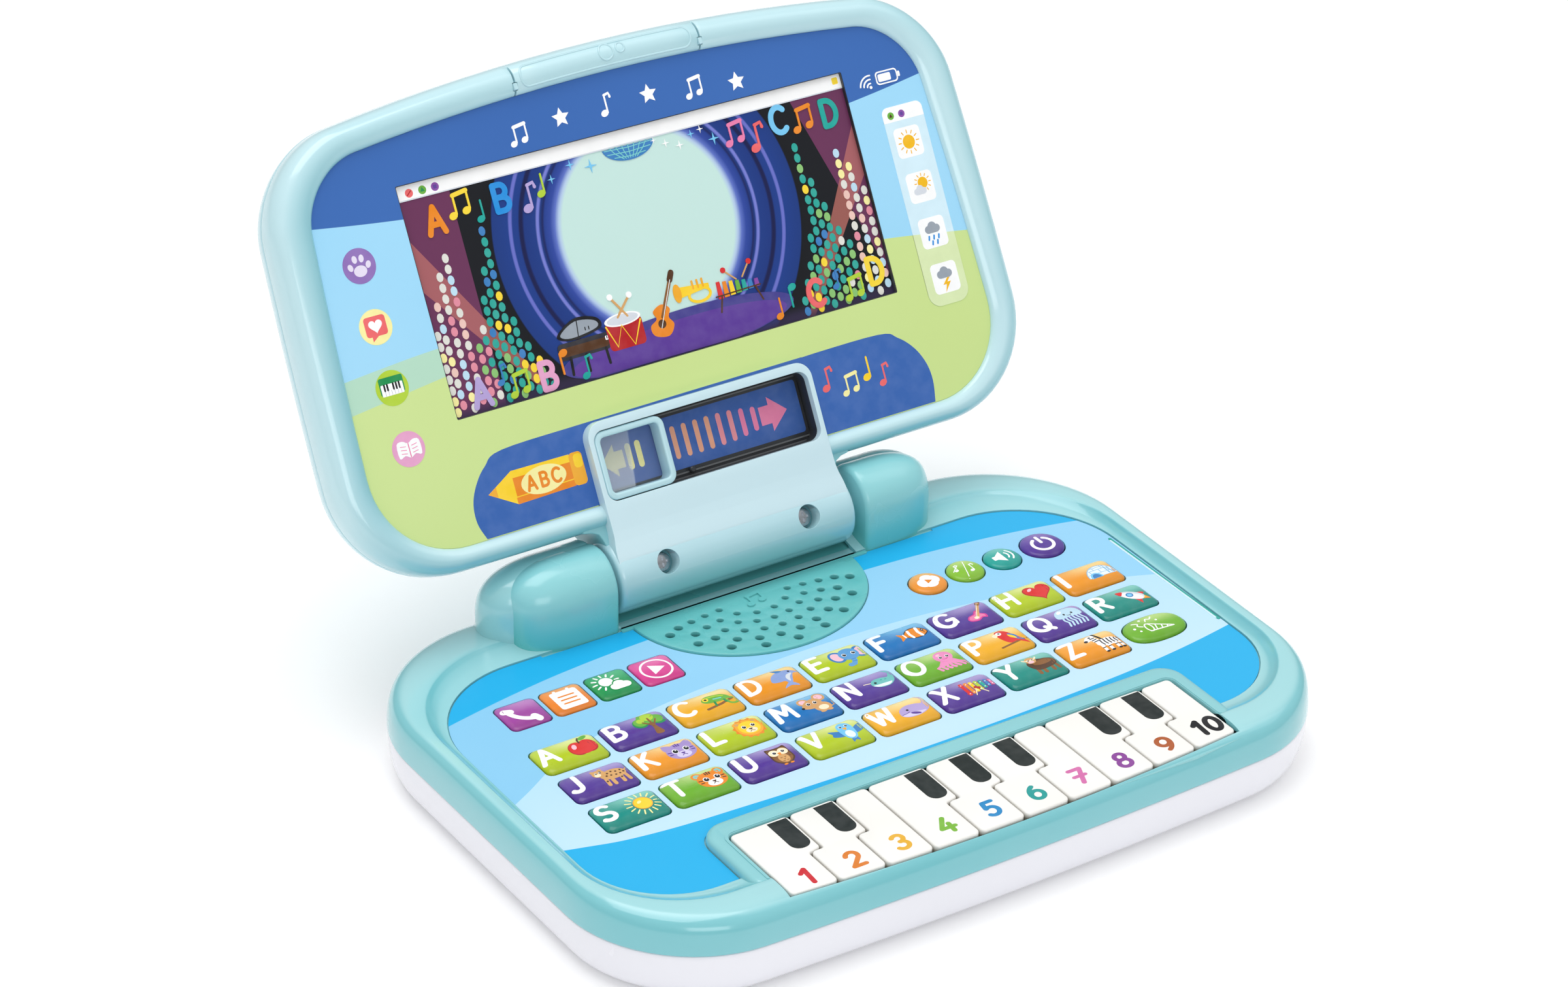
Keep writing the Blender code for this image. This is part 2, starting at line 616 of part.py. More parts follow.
# (y, z) section of the space inside barrel, neck and block
HOLLOW = ((-9.2, -2.5), (-6.4, -6.6), (-1.5, -9.0), (5.0, -7.0), (12.6, -6.4),
          (12.8, -3.6), (47.0, -3.5), (47.0, 5.3), (2.5, 7.2), (-4.5, 8.0), (-8.6, 3.4))
HOLLOW_HALF = 40.0
BARREL_BEVEL_R, BARREL_BEVEL_X = 1.2, 1.4
BOSS_X, BOSS_R, RECESS_R = 26.3, 5.6, 3.9
WINDOW_W, WINDOW_H, WINDOW_CORNER = 79.4, 22.6, 3.6
# left half of the print panel's notch round the slider block
NOTCH_LEFT = ((-BLOCK_HALF_W - 0.4, LID_IN_FRONT + PRINT_GAP), (-BLOCK_HALF_W - 0.4, 44.0),
              (-40.2, 47.2), (-36.8, 48.7))
PRINT_CENTRE_Y = 85     # panel edge points are ordered by angle about this


def hinge_barrel():
    full = circle(0, 0, BARREL_R, 24, 0.5)
    small = circle(0, 0, BARREL_R - BARREL_BEVEL_R, 24, 0.5)
    shoulder = BARREL_HALF - BARREL_BEVEL_X
    return loft("barrel", [at_x(small, -BARREL_HALF), at_x(full, -shoulder),
                           at_x(full, shoulder), at_x(small, BARREL_HALF)])


def lid_front_frame(lid):
    frame = rim("lid_front_frame", LID_OUT, LID_IN, LID_PROFILE)
    screen_hole = rounded_rect(SCREEN_X, SCREEN_Y, 156, 67, 3)
    join(frame,
         plate("deck", between(LID_OUT, LID_IN, 0.93), [screen_hole], 1.2, 3.0),
         raised_block("block", 0, (BLOCK_NEAR + BLOCK_FAR) / 2, 2 * BLOCK_HALF_W,
                      BLOCK_FAR - BLOCK_NEAR, 6, BLOCK_STEPS),
         box("neck_front", (-41.2, 41.2), (0.5, 16.6), (-1.8, 4.0)),
         box("neck_back", (-41, 41), (0.7, 14.6), (-8.6, 3.0)),
         hinge_barrel())
    cut(frame, prism_x("hollow", HOLLOW, -HOLLOW_HALF, HOLLOW_HALF))
    join(frame, *[rod_z("boss", side * BOSS_X, 0.0, 4.2, 11.0, BOSS_R, 12) for side in SIDES])
    cut(frame, *[rod_z("recess", side * BOSS_X, 0.0, 6.4, 14, RECESS_R, 12) for side in SIDES])
    window = rounded_rect(0.0, SLIDE_Y, WINDOW_W, WINDOW_H, WINDOW_CORNER, 3)
    cut(frame, prism("window", window, 4.9, 12),
        rod_x("bore", -BORE_HALF, BORE_HALF, 0, 0, BORE_R, 12))
    finish(frame, lid, AQUA, roughness=0.2)


def lid_back_cover(lid):
    finish(tray("lid_back_cover", LID_OUT, COVER_PROFILE), lid, AQUA, roughness=0.25)


def lid_print_panel(lid):
    """Printed panel round the screen, notched round the slider block."""
    notch = list(NOTCH_LEFT) + [(-x, y) for x, y in reversed(NOTCH_LEFT)]

    def angle(point):
        return math.atan2(point[1] - PRINT_CENTRE_Y, point[0])

    edge = [(x, y) for x, y in outline(LID_IN, PRINT_GAP) if abs(x) >= 50 or y >= 40]
    edge.sort(key=lambda point: (angle(point) - angle(notch[-1])) % (2 * math.pi))
    screen_hole = rounded_rect(SCREEN_X, SCREEN_Y, SCREEN_W, SCREEN_H, 0.6)
    finish(plate("lid_print_panel", notch + edge, [screen_hole], 4.6, 5.8),
           lid, (0.30, 0.62, 0.80), roughness=0.3)


def screen_picture(lid):
    overlap = 3.3
    ring = rounded_rect(SCREEN_X, SCREEN_Y, SCREEN_W + 2 * overlap, SCREEN_H + 2 * overlap, 2)
    finish(plate("screen_picture", ring, [], 3.3, 4.3), lid, (0.05, 0.06, 0.22), roughness=0.15)


# ---- slider ------------------------------------------------------------------
SLIDER_X, SLIDER_W, SLIDER_H, SLIDER_WALL = -26.8, 25.2, 22.0, 2.1


def slider(lid):
    track = plate("slider_track", rounded_rect(0, 34.0, 79.0, 25.2, 1.5), [], 1.2, 2.5)
    finish(track, lid, (0.02, 0.02, 0.025), roughness=0.35)

    outside = rounded_rect(SLIDER_X, SLIDE_Y, SLIDER_W, SLIDER_H, 3.4, 3)
    inside = rounded_rect(SLIDER_X, SLIDE_Y, SLIDER_W - 2 * SLIDER_WALL,
                          SLIDER_H - 2 * SLIDER_WALL, 1.6, 2)
    frame = prism("slider_frame", outside, 3.0, 9.5)
    join(frame, centred_box("foot", SLIDER_X, SLIDE_Y, 10.5, 12.4, (2.9, 4.4)))
    cut(frame, prism("inside", inside, 1, 12))
    finish(frame, lid, AQUA, roughness=0.2)


def main():
    for old in list(bpy.data.objects):
        bpy.data.objects.remove(old, do_unlink=True)
    base = empty("base_frame", PANEL_H)
    lid = empty("lid_axis", PANEL_H + AXIS_H, LID_ANGLE)
    for build in (base_top_shell, keypad_overlay, base_bottom_shell, battery_door, batteries,
                  inner_parts, panel_keys):
        build(base)
    for number in range(1, PIANO_KEYS + 1):
        piano_key(number, base)
    for build in (lid_front_frame, lid_back_cover, lid_print_panel, screen_picture, slider):
        build(lid)


main()
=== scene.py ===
"""Looks of the toy laptop computer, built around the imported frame.

Two local spaces are used, both in millimetres until a mesh is made:
base pieces (x, y, z) from the hinge line and the key panel, and lid pieces (x, v, w) from the hinge axis,
v away from the hinge and w out of the lid's front.
"""
import json
import math
import bpy
import bmesh
from mathutils import Matrix, Vector, geometry
from mathutils.bvhtree import BVHTree


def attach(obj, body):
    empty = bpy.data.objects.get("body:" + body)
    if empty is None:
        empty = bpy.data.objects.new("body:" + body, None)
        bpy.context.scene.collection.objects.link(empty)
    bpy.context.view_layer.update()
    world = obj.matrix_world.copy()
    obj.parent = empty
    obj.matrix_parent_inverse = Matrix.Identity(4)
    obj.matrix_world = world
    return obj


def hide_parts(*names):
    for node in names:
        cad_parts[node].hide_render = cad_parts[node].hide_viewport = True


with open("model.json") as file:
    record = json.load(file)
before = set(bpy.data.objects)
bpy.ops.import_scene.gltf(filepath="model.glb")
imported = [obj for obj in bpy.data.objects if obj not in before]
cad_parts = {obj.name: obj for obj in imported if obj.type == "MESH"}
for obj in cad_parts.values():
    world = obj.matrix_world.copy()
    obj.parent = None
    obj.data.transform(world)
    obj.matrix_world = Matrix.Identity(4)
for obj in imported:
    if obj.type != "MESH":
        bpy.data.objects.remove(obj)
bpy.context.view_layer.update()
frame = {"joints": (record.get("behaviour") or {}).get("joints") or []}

MM = 0.001
JOINT = {j["name"]: j for j in frame["joints"]}
HINGE = Vector(JOINT["lid_hinge"]["pos_m"])
PANEL_Z = 0.025
BASE = Matrix.Translation((0, HINGE.y, PANEL_Z))
LID = Matrix.Translation(HINGE) @ Matrix.Rotation(math.radians(60.7), 4, "X")
AXIS_H = (HINGE.z - PANEL_Z) / MM

# ------------------------------------------------------------------ colours
def lin(c):
    return c / 12.92 if c <= 0.04045 else ((c + 0.055) / 1.055) ** 2.4


def hx(s):
    s = s.lstrip("#")
    return tuple(lin(int(s[i:i + 2], 16) / 255) for i in (0, 2, 4))


def mixc(a, b, t):
    return tuple(p + (q - p) * t for p, q in zip(a, b))


# ---------------------------------------------------------------- materials
MATS = {}


class Tree:
    """Small helper for building node trees."""

    def __init__(self, name):
        self.m = bpy.data.materials.new(name)
        self.m.use_nodes = True
        self.t = self.m.node_tree
        self.b = self.t.nodes["Principled BSDF"]
        self.tc = self.add("ShaderNodeTexCoord")

    def add(self, kind, **kw):
        n = self.t.nodes.new(kind)
        for k, v in kw.items():
            setattr(n, k, v)
        return n

    def link(self, a, b):
        self.t.links.new(a, b)

    def noise(self, scale, detail=2.0, rough=0.5):
        n = self.add("ShaderNodeTexNoise")
        n.inputs["Scale"].default_value = scale
        n.inputs["Detail"].default_value = detail
        n.inputs["Roughness"].default_value = rough
        self.link(self.tc.outputs["Object"], n.inputs["Vector"])
        return n.outputs["Fac"]

    def rng(self, src, a, b, c, d, smooth=False):
        n = self.add("ShaderNodeMapRange")
        n.clamp = True
        if smooth:
            n.interpolation_type = "SMOOTHSTEP"
        self.link(src, n.inputs[0])
        for i, v in enumerate((a, b, c, d)):
            n.inputs[1 + i].default_value = v
        return n.outputs[0]

    def math(self, op, a, b=None, c=None, clamp=False):
        n = self.add("ShaderNodeMath", operation=op)
        n.use_clamp = clamp
        for i, v in enumerate((a, b, c)):
            if v is None:
                continue
            if hasattr(v, "default_value") or hasattr(v, "links"):
                self.link(v, n.inputs[i])
            else:
                n.inputs[i].default_value = v
        return n.outputs[0]

    def mix(self, fac, a, b):
        n = self.add("ShaderNodeMix", data_type="RGBA")
        if isinstance(fac, (int, float)):
            n.inputs[0].default_value = fac
        else:
            self.link(fac, n.inputs[0])
        for i, v in ((6, a), (7, b)):
            if isinstance(v, tuple):
                n.inputs[i].default_value = (*v[:3], 1)
            else:
                self.link(v, n.inputs[i])
        return n.outputs[2]

    def xyz(self):
        s = self.add("ShaderNodeSeparateXYZ")
        self.link(self.tc.outputs["Object"], s.inputs[0])
        return s.outputs

    def curve(self, src, pts, lo, hi, vlo, vhi):
        """Value read off a smooth curve through pts, both axes in metres."""
        f = self.add("ShaderNodeFloatCurve")
        c = f.mapping.curves[0]
        norm = [((x - lo) / (hi - lo), (y - vlo) / (vhi - vlo)) for x, y in pts]
        c.points[0].location = norm[0]
        c.points[1].location = norm[-1]
        for p in norm[1:-1]:
            c.points.new(*p)
        f.mapping.update()
        self.link(self.rng(src, lo, hi, 0, 1), f.inputs["Value"])
        return self.rng(f.outputs[0], 0, 1, vlo, vhi)

    def surface(self, rough, spread=0.05, bump=0.02, micro=1400.0, patch=45.0):
        """Moulded surface: patchy gloss and a very fine orange peel."""
        self.link(self.rng(self.noise(patch, 3), 0.3, 0.7, rough - spread / 2, rough + spread / 2),
                  self.b.inputs["Roughness"])
        if bump:
            bn = self.add("ShaderNodeBump")
            bn.inputs["Strength"].default_value = bump
            bn.inputs["Distance"].default_value = 0.0004
            self.link(self.noise(micro, 2), bn.inputs["Height"])
            self.link(bn.outputs[0], self.b.inputs["Normal"])


def plastic(name, col, rough=0.22, coat=0.25, var=0.03, bump=0.03, edge=None, sss=0.0):
    if name in MATS:
        return MATS[name]
    t = Tree(name)
    c = t.mix(t.rng(t.noise(14, 3), 0.3, 0.7, 0, 1), mixc(col, (0, 0, 0), var), mixc(col, (1, 1, 1), var))
    if edge:
        g = t.add("ShaderNodeNewGeometry")
        c = t.mix(t.rng(g.outputs["Pointiness"], 0.5, 0.56, 0, 0.5), c, edge)
    t.link(c, t.b.inputs["Base Color"])
    t.b.inputs["Coat Weight"].default_value = coat
    t.b.inputs["Coat Roughness"].default_value = 0.08
    t.b.inputs["IOR"].default_value = 1.5
    if sss:
        t.b.inputs["Subsurface Weight"].default_value = sss
        t.b.inputs["Subsurface Radius"].default_value = (0.004, 0.004, 0.004)
    t.surface(rough, 0.06, bump)
    MATS[name] = t.m
    return t.m


def ink(name, col=None):
    """Printed ink under a thin clear coat, with a little unevenness."""
    if name in MATS:
        return MATS[name]
    t = Tree("ink_" + name)
    col = col or hx(INKS[name])
    t.link(t.mix(t.rng(t.noise(220, 2), 0.35, 0.65, 0, 1), mixc(col, (0, 0, 0), 0.03), mixc(col, (1, 1, 1), 0.02)),
           t.b.inputs["Base Color"])
    t.b.inputs["Specular IOR Level"].default_value = 0.25
    t.b.inputs["Coat Weight"].default_value = 0.06
    t.b.inputs["Coat Roughness"].default_value = 0.1
    t.surface(0.35, 0.05, 0)
    MATS[name] = t.m
    return t.m


INKS = dict(white="#FFFFFF", black="#15161A", inlay="#172120", navy="#1C2A74", blue="#2B63B5", tab="#3A67B2",
            band="#3869B4", sky="#9FDAF8", green="#CCE291", red="#DE2B2B", crimson="#B81C22", orange="#EE8A1E",
            amber="#F5AE2D", yellow="#FBDA3A", paleyellow="#FCF2A6", lime="#B5D43A", leaf="#6DB33F",
            forest="#1F9150", teal="#19A79C", aqua="#7FD0CC", purple="#8B4BA5", violet="#5D3B99", lilac="#B7A4D9",
            palelilac="#D9CFEE", pink="#EC7FAE", palepink="#F8C4D3", coral="#F0696B", brown="#8A5A2B",
            darkbrown="#54341C", tan="#D9A566", cream="#FBEBC8", grey="#9AA3AE", palegrey="#D9DEE6", dark="#2C2B33",
            elephant="#5E9FD6", deepblue="#3A7FC0", dolphin="#8DA4D9", cat="#A993CF", mouse="#D7A36A",
            narwhal="#6FC0BC", octo="#EE8FC2", jelly="#BFE0F2", sunyellow="#FFD52E", igloo="#EAF6FD",
            iglooline="#8FBFE0", magenta="#DA3593", icongreen="#1C9247", phone="#9B3FA0", strip="#D6F0FB",
            shadow="#2A6FA8", d1="#CE2430", d2="#DE7F2B", d3="#E9B233", d4="#7DB83D", d5="#2089C5", d6="#1B9C97",
            d7="#D56FAC", d8="#8C449A", d9="#B05A28", d10="#15161A", maroon="#5C2145", salmon="#8E5560",
            stageblue="#45408E", ovalteal="#2BA79A", ovalgreen="#8CC474", ovalpink="#E58FA2", ovalpale="#E3E2DA", ovalrose="#EFC7BC", bookpink="#E8A4CB", sungold="#F6BC12", stripgreen="#DCEBB6",
            ring="#6F7FD0", skyline="#78C8F2", arrow="#F6EE9A", bars="#E8A08C", arrowpink="#E8829C",
            label="#3B60A6", badge="#2A4FA0", bars1="#DFA084", bars2="#E28E98", bars3="#E47FA6",
            pawbg="#9272B9", paw="#E9E0F4", glow="#F4F8FB", brightblue="#2290DE")

# ------------------------------------------------------------------ outlines
def smooth(pts, k=4):
    """Catmull-Rom through pts."""
    out = []
    n = len(pts)
    for i in range(n - 1):
        p0, p1, p2, p3 = pts[max(i - 1, 0)], pts[i], pts[i + 1], pts[min(i + 2, n - 1)]
        for j in range(k):
            t = j / k
            out.append(tuple(0.5 * (2 * b + (c - a) * t + (2 * a - 5 * b + 4 * c - d) * t * t
                                    + (3 * b - a - 3 * c + d) * t ** 3) for a, b, c, d in zip(p0, p1, p2, p3)))
    out.append(pts[-1])
    return out


def blob(pts, k=5):
    """Closed smooth outline through pts."""
    n = len(pts)
    out = []
    for i in range(n):
        p0, p1, p2, p3 = pts[i - 1], pts[i], pts[(i + 1) % n], pts[(i + 2) % n]
        for j in range(k):
            t = j / k
            out.append(tuple(0.5 * (2 * b + (c - a) * t + (2 * a - 5 * b + 4 * c - d) * t * t
                                    + (3 * b - a - 3 * c + d) * t ** 3) for a, b, c, d in zip(p0, p1, p2, p3)))
    return out


def bez(p0, p1, p2, p3, n):
    out = []
    for i in range(1, n + 1):
        t = i / (n + 1)
        a, b, c, d = (1 - t) ** 3, 3 * t * (1 - t) ** 2, 3 * t * t * (1 - t), t ** 3
        out.append((a * p0[0] + b * p1[0] + c * p2[0] + d * p3[0], a * p0[1] + b * p1[1] + c * p2[1] + d * p3[1]))
    return out


FINE = (8, 14, 10, 18, 8)


def outline(q, d=0.0, n=FINE):
    """Closed rounded outline, mirrored about x = 0, inset by d (same rule as the solids)."""
    hf, hb, yfs, yfc, ybs, ybc, rf, rb, bow = q
    hf, hb, yfs, yfc, ybs, ybc = hf - d, hb - d, yfs + d, yfc + d, ybs - d, ybc - d
    rf, rb = max(rf - 0.7 * d, 3), max(rb - 0.7 * d, 3)

    def side(y):
        t = (y - yfs) / (ybs - yfs)
        return hf + (hb - hf) * t + bow * 4 * t * (1 - t)

    def front(x):
        return yfc + (yfs - yfc) * (x / hf) ** 2

    def back(x):
        return ybc + (ybs - ybc) * (x / hb) ** 2
    k = 0.5523
    x1, x2 = hf - rf, hb - rb
    y1, y2 = yfs + rf, ybs - rb
    sf = 2 * (yfs - yfc) * x1 / hf ** 2
    sb = 2 * (ybs - ybc) * x2 / hb ** 2
    s1, s2 = side(y1 + 1) - side(y1), side(y2 + 1) - side(y2)
    half = [(x1 * i / n[0], front(x1 * i / n[0])) for i in range(1, n[0] + 1)]
    half += bez(half[-1], (x1 + k * rf, front(x1) + sf * k * rf), (side(y1) - s1 * k * rf, y1 - k * rf),
                (side(y1), y1), n[1])
    half += [(side(y1 + (y2 - y1) * i / n[2]), y1 + (y2 - y1) * i / n[2]) for i in range(n[2] + 1)]
    half += bez(half[-1], (side(y2) + s2 * k * rb, y2 + k * rb), (x2 + k * rb, back(x2) + sb * k * rb),
                (x2, back(x2)), n[3])
    half += [(x2 * i / n[4], back(x2 * i / n[4])) for i in range(n[4], 0, -1)]
    return [(0, yfc)] + half + [(0, ybc)] + [(-x, y) for x, y in reversed(half)]


def mixt(a, b, s):
    return tuple(p + (q - p) * s for p, q in zip(a, b))


def rrect(cx, cy, w, h, r, n=6):
    out = []
    r = min(r, w / 2 - 0.01, h / 2 - 0.01)
    for sx, sy, a0 in ((1, -1, -90), (1, 1, 0), (-1, 1, 90), (-1, -1, 180)):
        for i in range(n + 1):
            a = math.radians(a0 + 90 * i / n)
            out.append((cx + sx * (w / 2 - r) + r * math.cos(a), cy + sy * (h / 2 - r) + r * math.sin(a)))
    return out


def ell(cx, cy, rx, ry=None, rot=0.0, n=28, a0=0.0, a1=360.0):
    ry = rx if ry is None else ry
    full = abs(a1 - a0) >= 360
    out = []
    for i in range(n if full else n + 1):
        a = math.radians(a0 + (a1 - a0) * i / n)
        x, y = rx * math.cos(a), ry * math.sin(a)
        c, s = math.cos(math.radians(rot)), math.sin(math.radians(rot))
        out.append((cx + x * c - y * s, cy + x * s + y * c))
    return out


def stroke(pts, w, caps=5):
    """Outline of a round-ended brush stroke along pts."""
    h = w / 2
    if len(pts) == 1:
        return ell(pts[0][0], pts[0][1], h, n=14)
    left, right = [], []
    n = len(pts)
    for i, p in enumerate(pts):
        a = pts[max(i - 1, 0)]
        b = pts[min(i + 1, n - 1)]
        dx, dy = b[0] - a[0], b[1] - a[1]
        L = math.hypot(dx, dy) or 1
        nx, ny = -dy / L, dx / L
        left.append((p[0] + nx * h, p[1] + ny * h))
        right.append((p[0] - nx * h, p[1] - ny * h))

    def cap(c, frm, sgn):
        a0 = math.atan2(frm[1] - c[1], frm[0] - c[0])
        return [(c[0] + h * math.cos(a0 + sgn * math.pi * k / (caps + 1)),
                 c[1] + h * math.sin(a0 + sgn * math.pi * k / (caps + 1))) for k in range(1, caps + 1)]
    return left + cap(pts[-1], left[-1], -1) + list(reversed(right)) + cap(pts[0], right[0], -1)


def arc(cx, cy, rx, ry, a0, a1, n=14):
    return [(cx + rx * math.cos(math.radians(a0 + (a1 - a0) * i / n)),
             cy + ry * math.sin(math.radians(a0 + (a1 - a0) * i / n))) for i in range(n + 1)]


# --------------------------------------------------------------------- meshes
def new_object(name, bm, space, mats, sharp=35, loc=None):
    bmesh.ops.remove_doubles(bm, verts=bm.verts, dist=1e-7)
    bmesh.ops.recalc_face_normals(bm, faces=bm.faces)
    me = bpy.data.meshes.new(name)
    bm.to_mesh(me)
    bm.free()
    ob = bpy.data.objects.new(name, me)
    bpy.context.scene.collection.objects.link(ob)
    for m in (mats if isinstance(mats, (list, tuple)) else [mats]):
        me.materials.append(m)
    me.shade_smooth()
    me.set_sharp_from_angle(angle=math.radians(sharp))
    ob.matrix_world = space @ Matrix.Translation(Vector(loc) * MM) if loc else space
    return ob


def loft_bm(rings, loop=False):
    bm = bmesh.new()
    vs = [[bm.verts.new((x * MM, y * MM, z * MM)) for x, y, z in r] for r in rings]
    for a, b in list(zip(vs, vs[1:])) + ([(vs[-1], vs[0])] if loop else []):
        for i in range(len(a)):
            j = (i + 1) % len(a)
            bm.faces.new((a[i], a[j], b[j], b[i]))
    if not loop:
        bm.faces.new(list(reversed(vs[0])))
        bm.faces.new(vs[-1])
    return bm


def loft(name, rings, space, mats, loop=False, sharp=35, loc=None):
    return new_object(name, loft_bm(rings, loop), space, mats, sharp, loc)


def at(ring, z):
    return [(x, y, z) for x, y in ring]


def along_x(sec, x):
    return [(x, y, z) for y, z in sec]


def plate(name, outer, holes, z0, z1, space, mats, loc=None):
    bm = bmesh.new()
    for pts in [outer] + holes:
        vs = [bm.verts.new((x * MM, y * MM, z0 * MM)) for x, y in pts]
        for i in range(len(vs)):
            bm.edges.new((vs[i], vs[(i + 1) % len(vs)]))
    bmesh.ops.triangle_fill(bm, use_beauty=True, use_dissolve=False, edges=bm.edges[:], normal=(0, 0, 1))
    res = bmesh.ops.extrude_face_region(bm, geom=bm.faces[:])
    bmesh.ops.translate(bm, verts=[v for v in res["geom"] if isinstance(v, bmesh.types.BMVert)],
                        vec=(0, 0, (z1 - z0) * MM))
    return new_object(name, bm, space, mats, 35, loc)


def tool_box(x0, x1, y0, y1, z0, z1, space, mat=None):
    r = [(x0, y0), (x1, y0), (x1, y1), (x0, y1)]
    return loft("tool", [at(r, z0), at(r, z1)], space, [mat] if mat else [])


def boolean(ob, other, op="DIFFERENCE"):
    if not other.data.materials and ob.data.materials:
        other.data.materials.append(ob.data.materials[0])
    m = ob.modifiers.new(op.lower(), "BOOLEAN")
    m.operation, m.solver, m.object = op, "EXACT", other
    if hasattr(m, "material_mode"):
        m.material_mode = "TRANSFER"
    bpy.context.view_layer.update()
    dg = bpy.context.evaluated_depsgraph_get()
    me = bpy.data.meshes.new_from_object(ob.evaluated_get(dg), depsgraph=dg)
    ob.modifiers.clear()
    old = ob.data
    ob.data = me
    bpy.data.meshes.remove(old)
    bpy.data.objects.remove(other, do_unlink=True)
    me.shade_smooth()
    me.set_sharp_from_angle(angle=math.radians(35))
    return ob


def bevel(ob, width, seg=3, angle=40, keep=False):
    """Rounds the sharp edges; width in mm."""
    m = ob.modifiers.new("edge", "BEVEL")
    m.width, m.segments, m.limit_method, m.angle_limit = width * MM, seg, "ANGLE", math.radians(angle)
    m.harden_normals = False
    m.use_clamp_overlap = True
    bpy.context.view_layer.update()
    dg = bpy.context.evaluated_depsgraph_get()
    me = bpy.data.meshes.new_from_object(ob.evaluated_get(dg), depsgraph=dg)
    ob.modifiers.clear()
    ob.data = me
    me.shade_smooth()
    me.set_sharp_from_angle(angle=math.radians(50))
    return ob


def height_of(ob):
    """Function giving a local mesh's upper surface height (mm) over a point, or None."""
    me = ob.data
    tree = BVHTree.FromPolygons([tuple(v.co) for v in me.vertices], [tuple(p.vertices) for p in me.polygons])

    def f(x, y):
        hit = tree.ray_cast(Vector((x * MM, y * MM, 0.1)), Vector((0, 0, -1)))
        return hit[0].z / MM if hit[0] is not None else None
    return f


def inside(poly, x, y):
    c = False
    j = len(poly) - 1
    for i in range(len(poly)):
        xi, yi = poly[i]
        xj, yj = poly[j]
        if (yi > y) != (yj > y) and x < (xj - xi) * (y - yi) / (yj - yi) + xi:
            c = not c
        j = i
    return c


def paint(name, items, space, body, surf=0.0, grid=None, lift=0.03, step=0.006, thick=0.12, loc=None, clip=None):
    """Printed shapes as one piece: items are (ink, outline); later ones lie over earlier ones.

    surf is a height in mm or a function of (x, y); grid is the spacing of extra points on curved surfaces.
    """
    bm = bmesh.new()
    names = []
    for k, (col, poly) in enumerate(items):
        if col not in names:
            names.append(col)
        mi = names.index(col)
        pts = []
        for p in poly:
            if not pts or math.hypot(p[0] - pts[-1][0], p[1] - pts[-1][1]) > 0.01:
                pts.append((p[0], p[1]))
        if math.hypot(pts[0][0] - pts[-1][0], pts[0][1] - pts[-1][1]) < 0.01:
            pts.pop()
        if len(pts) < 3:
            continue
        area = sum(pts[i - 1][0] * pts[i][1] - pts[i][0] * pts[i - 1][1] for i in range(len(pts)))
        if area < 0:
            pts.reverse()
        dense = pts
        extra = []
        if grid:
            dense = []
            for i, p in enumerate(pts):
                q = pts[(i + 1) % len(pts)]
                m = max(1, int(math.hypot(q[0] - p[0], q[1] - p[1]) / grid + 0.5))
                dense += [(p[0] + (q[0] - p[0]) * t / m, p[1] + (q[1] - p[1]) * t / m) for t in range(m)]
            x0, x1 = min(p[0] for p in pts), max(p[0] for p in pts)
            y0, y1 = min(p[1] for p in pts), max(p[1] for p in pts)
            gx = x0 + grid / 2
            while gx < x1:
                gy = y0 + grid / 2
                while gy < y1:
                    if inside(pts, gx, gy):
                        extra.append((gx, gy))
                    gy += grid
                gx += grid
        co, _, fc, _, _, _ = geometry.delaunay_2d_cdt([Vector(p) for p in dense + extra], [],
                                                      [list(range(len(dense)))], 1, 1e-4)
        used = sorted({i for f in fc for i in f})
        if not used:
            continue
        z = []
        ok = True
        for i in used:
            h = surf(co[i].x, co[i].y) if callable(surf) else surf
            if h is None:
                h = z[-1] - lift - step * k if z else 0.0
            z.append(h + lift + step * k)
        top = {i: bm.verts.new((co[i].x * MM, co[i].y * MM, zz * MM)) for i, zz in zip(used, z)}
        low = {i: bm.verts.new((co[i].x * MM, co[i].y * MM, (zz - thick - step * k) * MM)) for i, zz in zip(used, z)}
        edges = {}
        for f in fc:
            for a, b in zip(f, list(f[1:]) + [f[0]]):
                edges[(a, b)] = edges.get((a, b), 0) + 1
        for f in fc:
            for vs, order in ((top, f), (low, tuple(reversed(f)))):
                try:
                    face = bm.faces.new([vs[i] for i in order])
                    face.material_index = mi
                except ValueError:
                    pass
        for (a, b) in edges:
            if (b, a) not in edges:
                try:
                    face = bm.faces.new((top[b], top[a], low[a], low[b]))
                    face.material_index = mi
                except ValueError:
                    pass
    me = bpy.data.meshes.new(name)
    bm.to_mesh(me)
    bm.free()
    ob = bpy.data.objects.new(name, me)
    bpy.context.scene.collection.objects.link(ob)
    for n in names:
        me.materials.append(ink(n))
    me.shade_smooth()
    me.set_sharp_from_angle(angle=math.radians(40))
    ob.matrix_world = space @ Matrix.Translation(Vector(loc) * MM) if loc else space
    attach(ob, body)
    return ob


def ride(ob, body, replaces=None):
    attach(ob, body)
    if replaces:
        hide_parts(*([replaces] if isinstance(replaces, str) else replaces))
    return ob

# ================================================================= plastics
AQUA = plastic("aqua_plastic", hx("#BBE0E8"), 0.20, 0.5, 0.02, 0.02)
TEAL = plastic("teal_plastic", hx("#84CAD0"), 0.22, 0.7, 0.03, 0.02)
GRILLE = plastic("grille_teal", hx("#5FBDBE"), 0.28, 0.3, 0.03, 0.02)
TUBW = plastic("white_plastic", hx("#ECECF3"), 0.25, 0.3, 0.015, 0.02)
DARK = plastic("dark_plastic", hx("#1B1F24"), 0.4, 0.1, 0.05, 0.03)
IVORY = plastic("piano_ivory", hx("#FBFAF7"), 0.2, 0.35, 0.012, 0.012)
STEEL = plastic("screw_steel", hx("#AEB4BA"), 0.28, 0.0, 0.08, 0.05)
STEEL.node_tree.nodes["Principled BSDF"].inputs["Metallic"].default_value = 1.0
RUBBER = plastic("foot_rubber", hx("#3B3D42"), 0.75, 0.0, 0.06, 0.2)
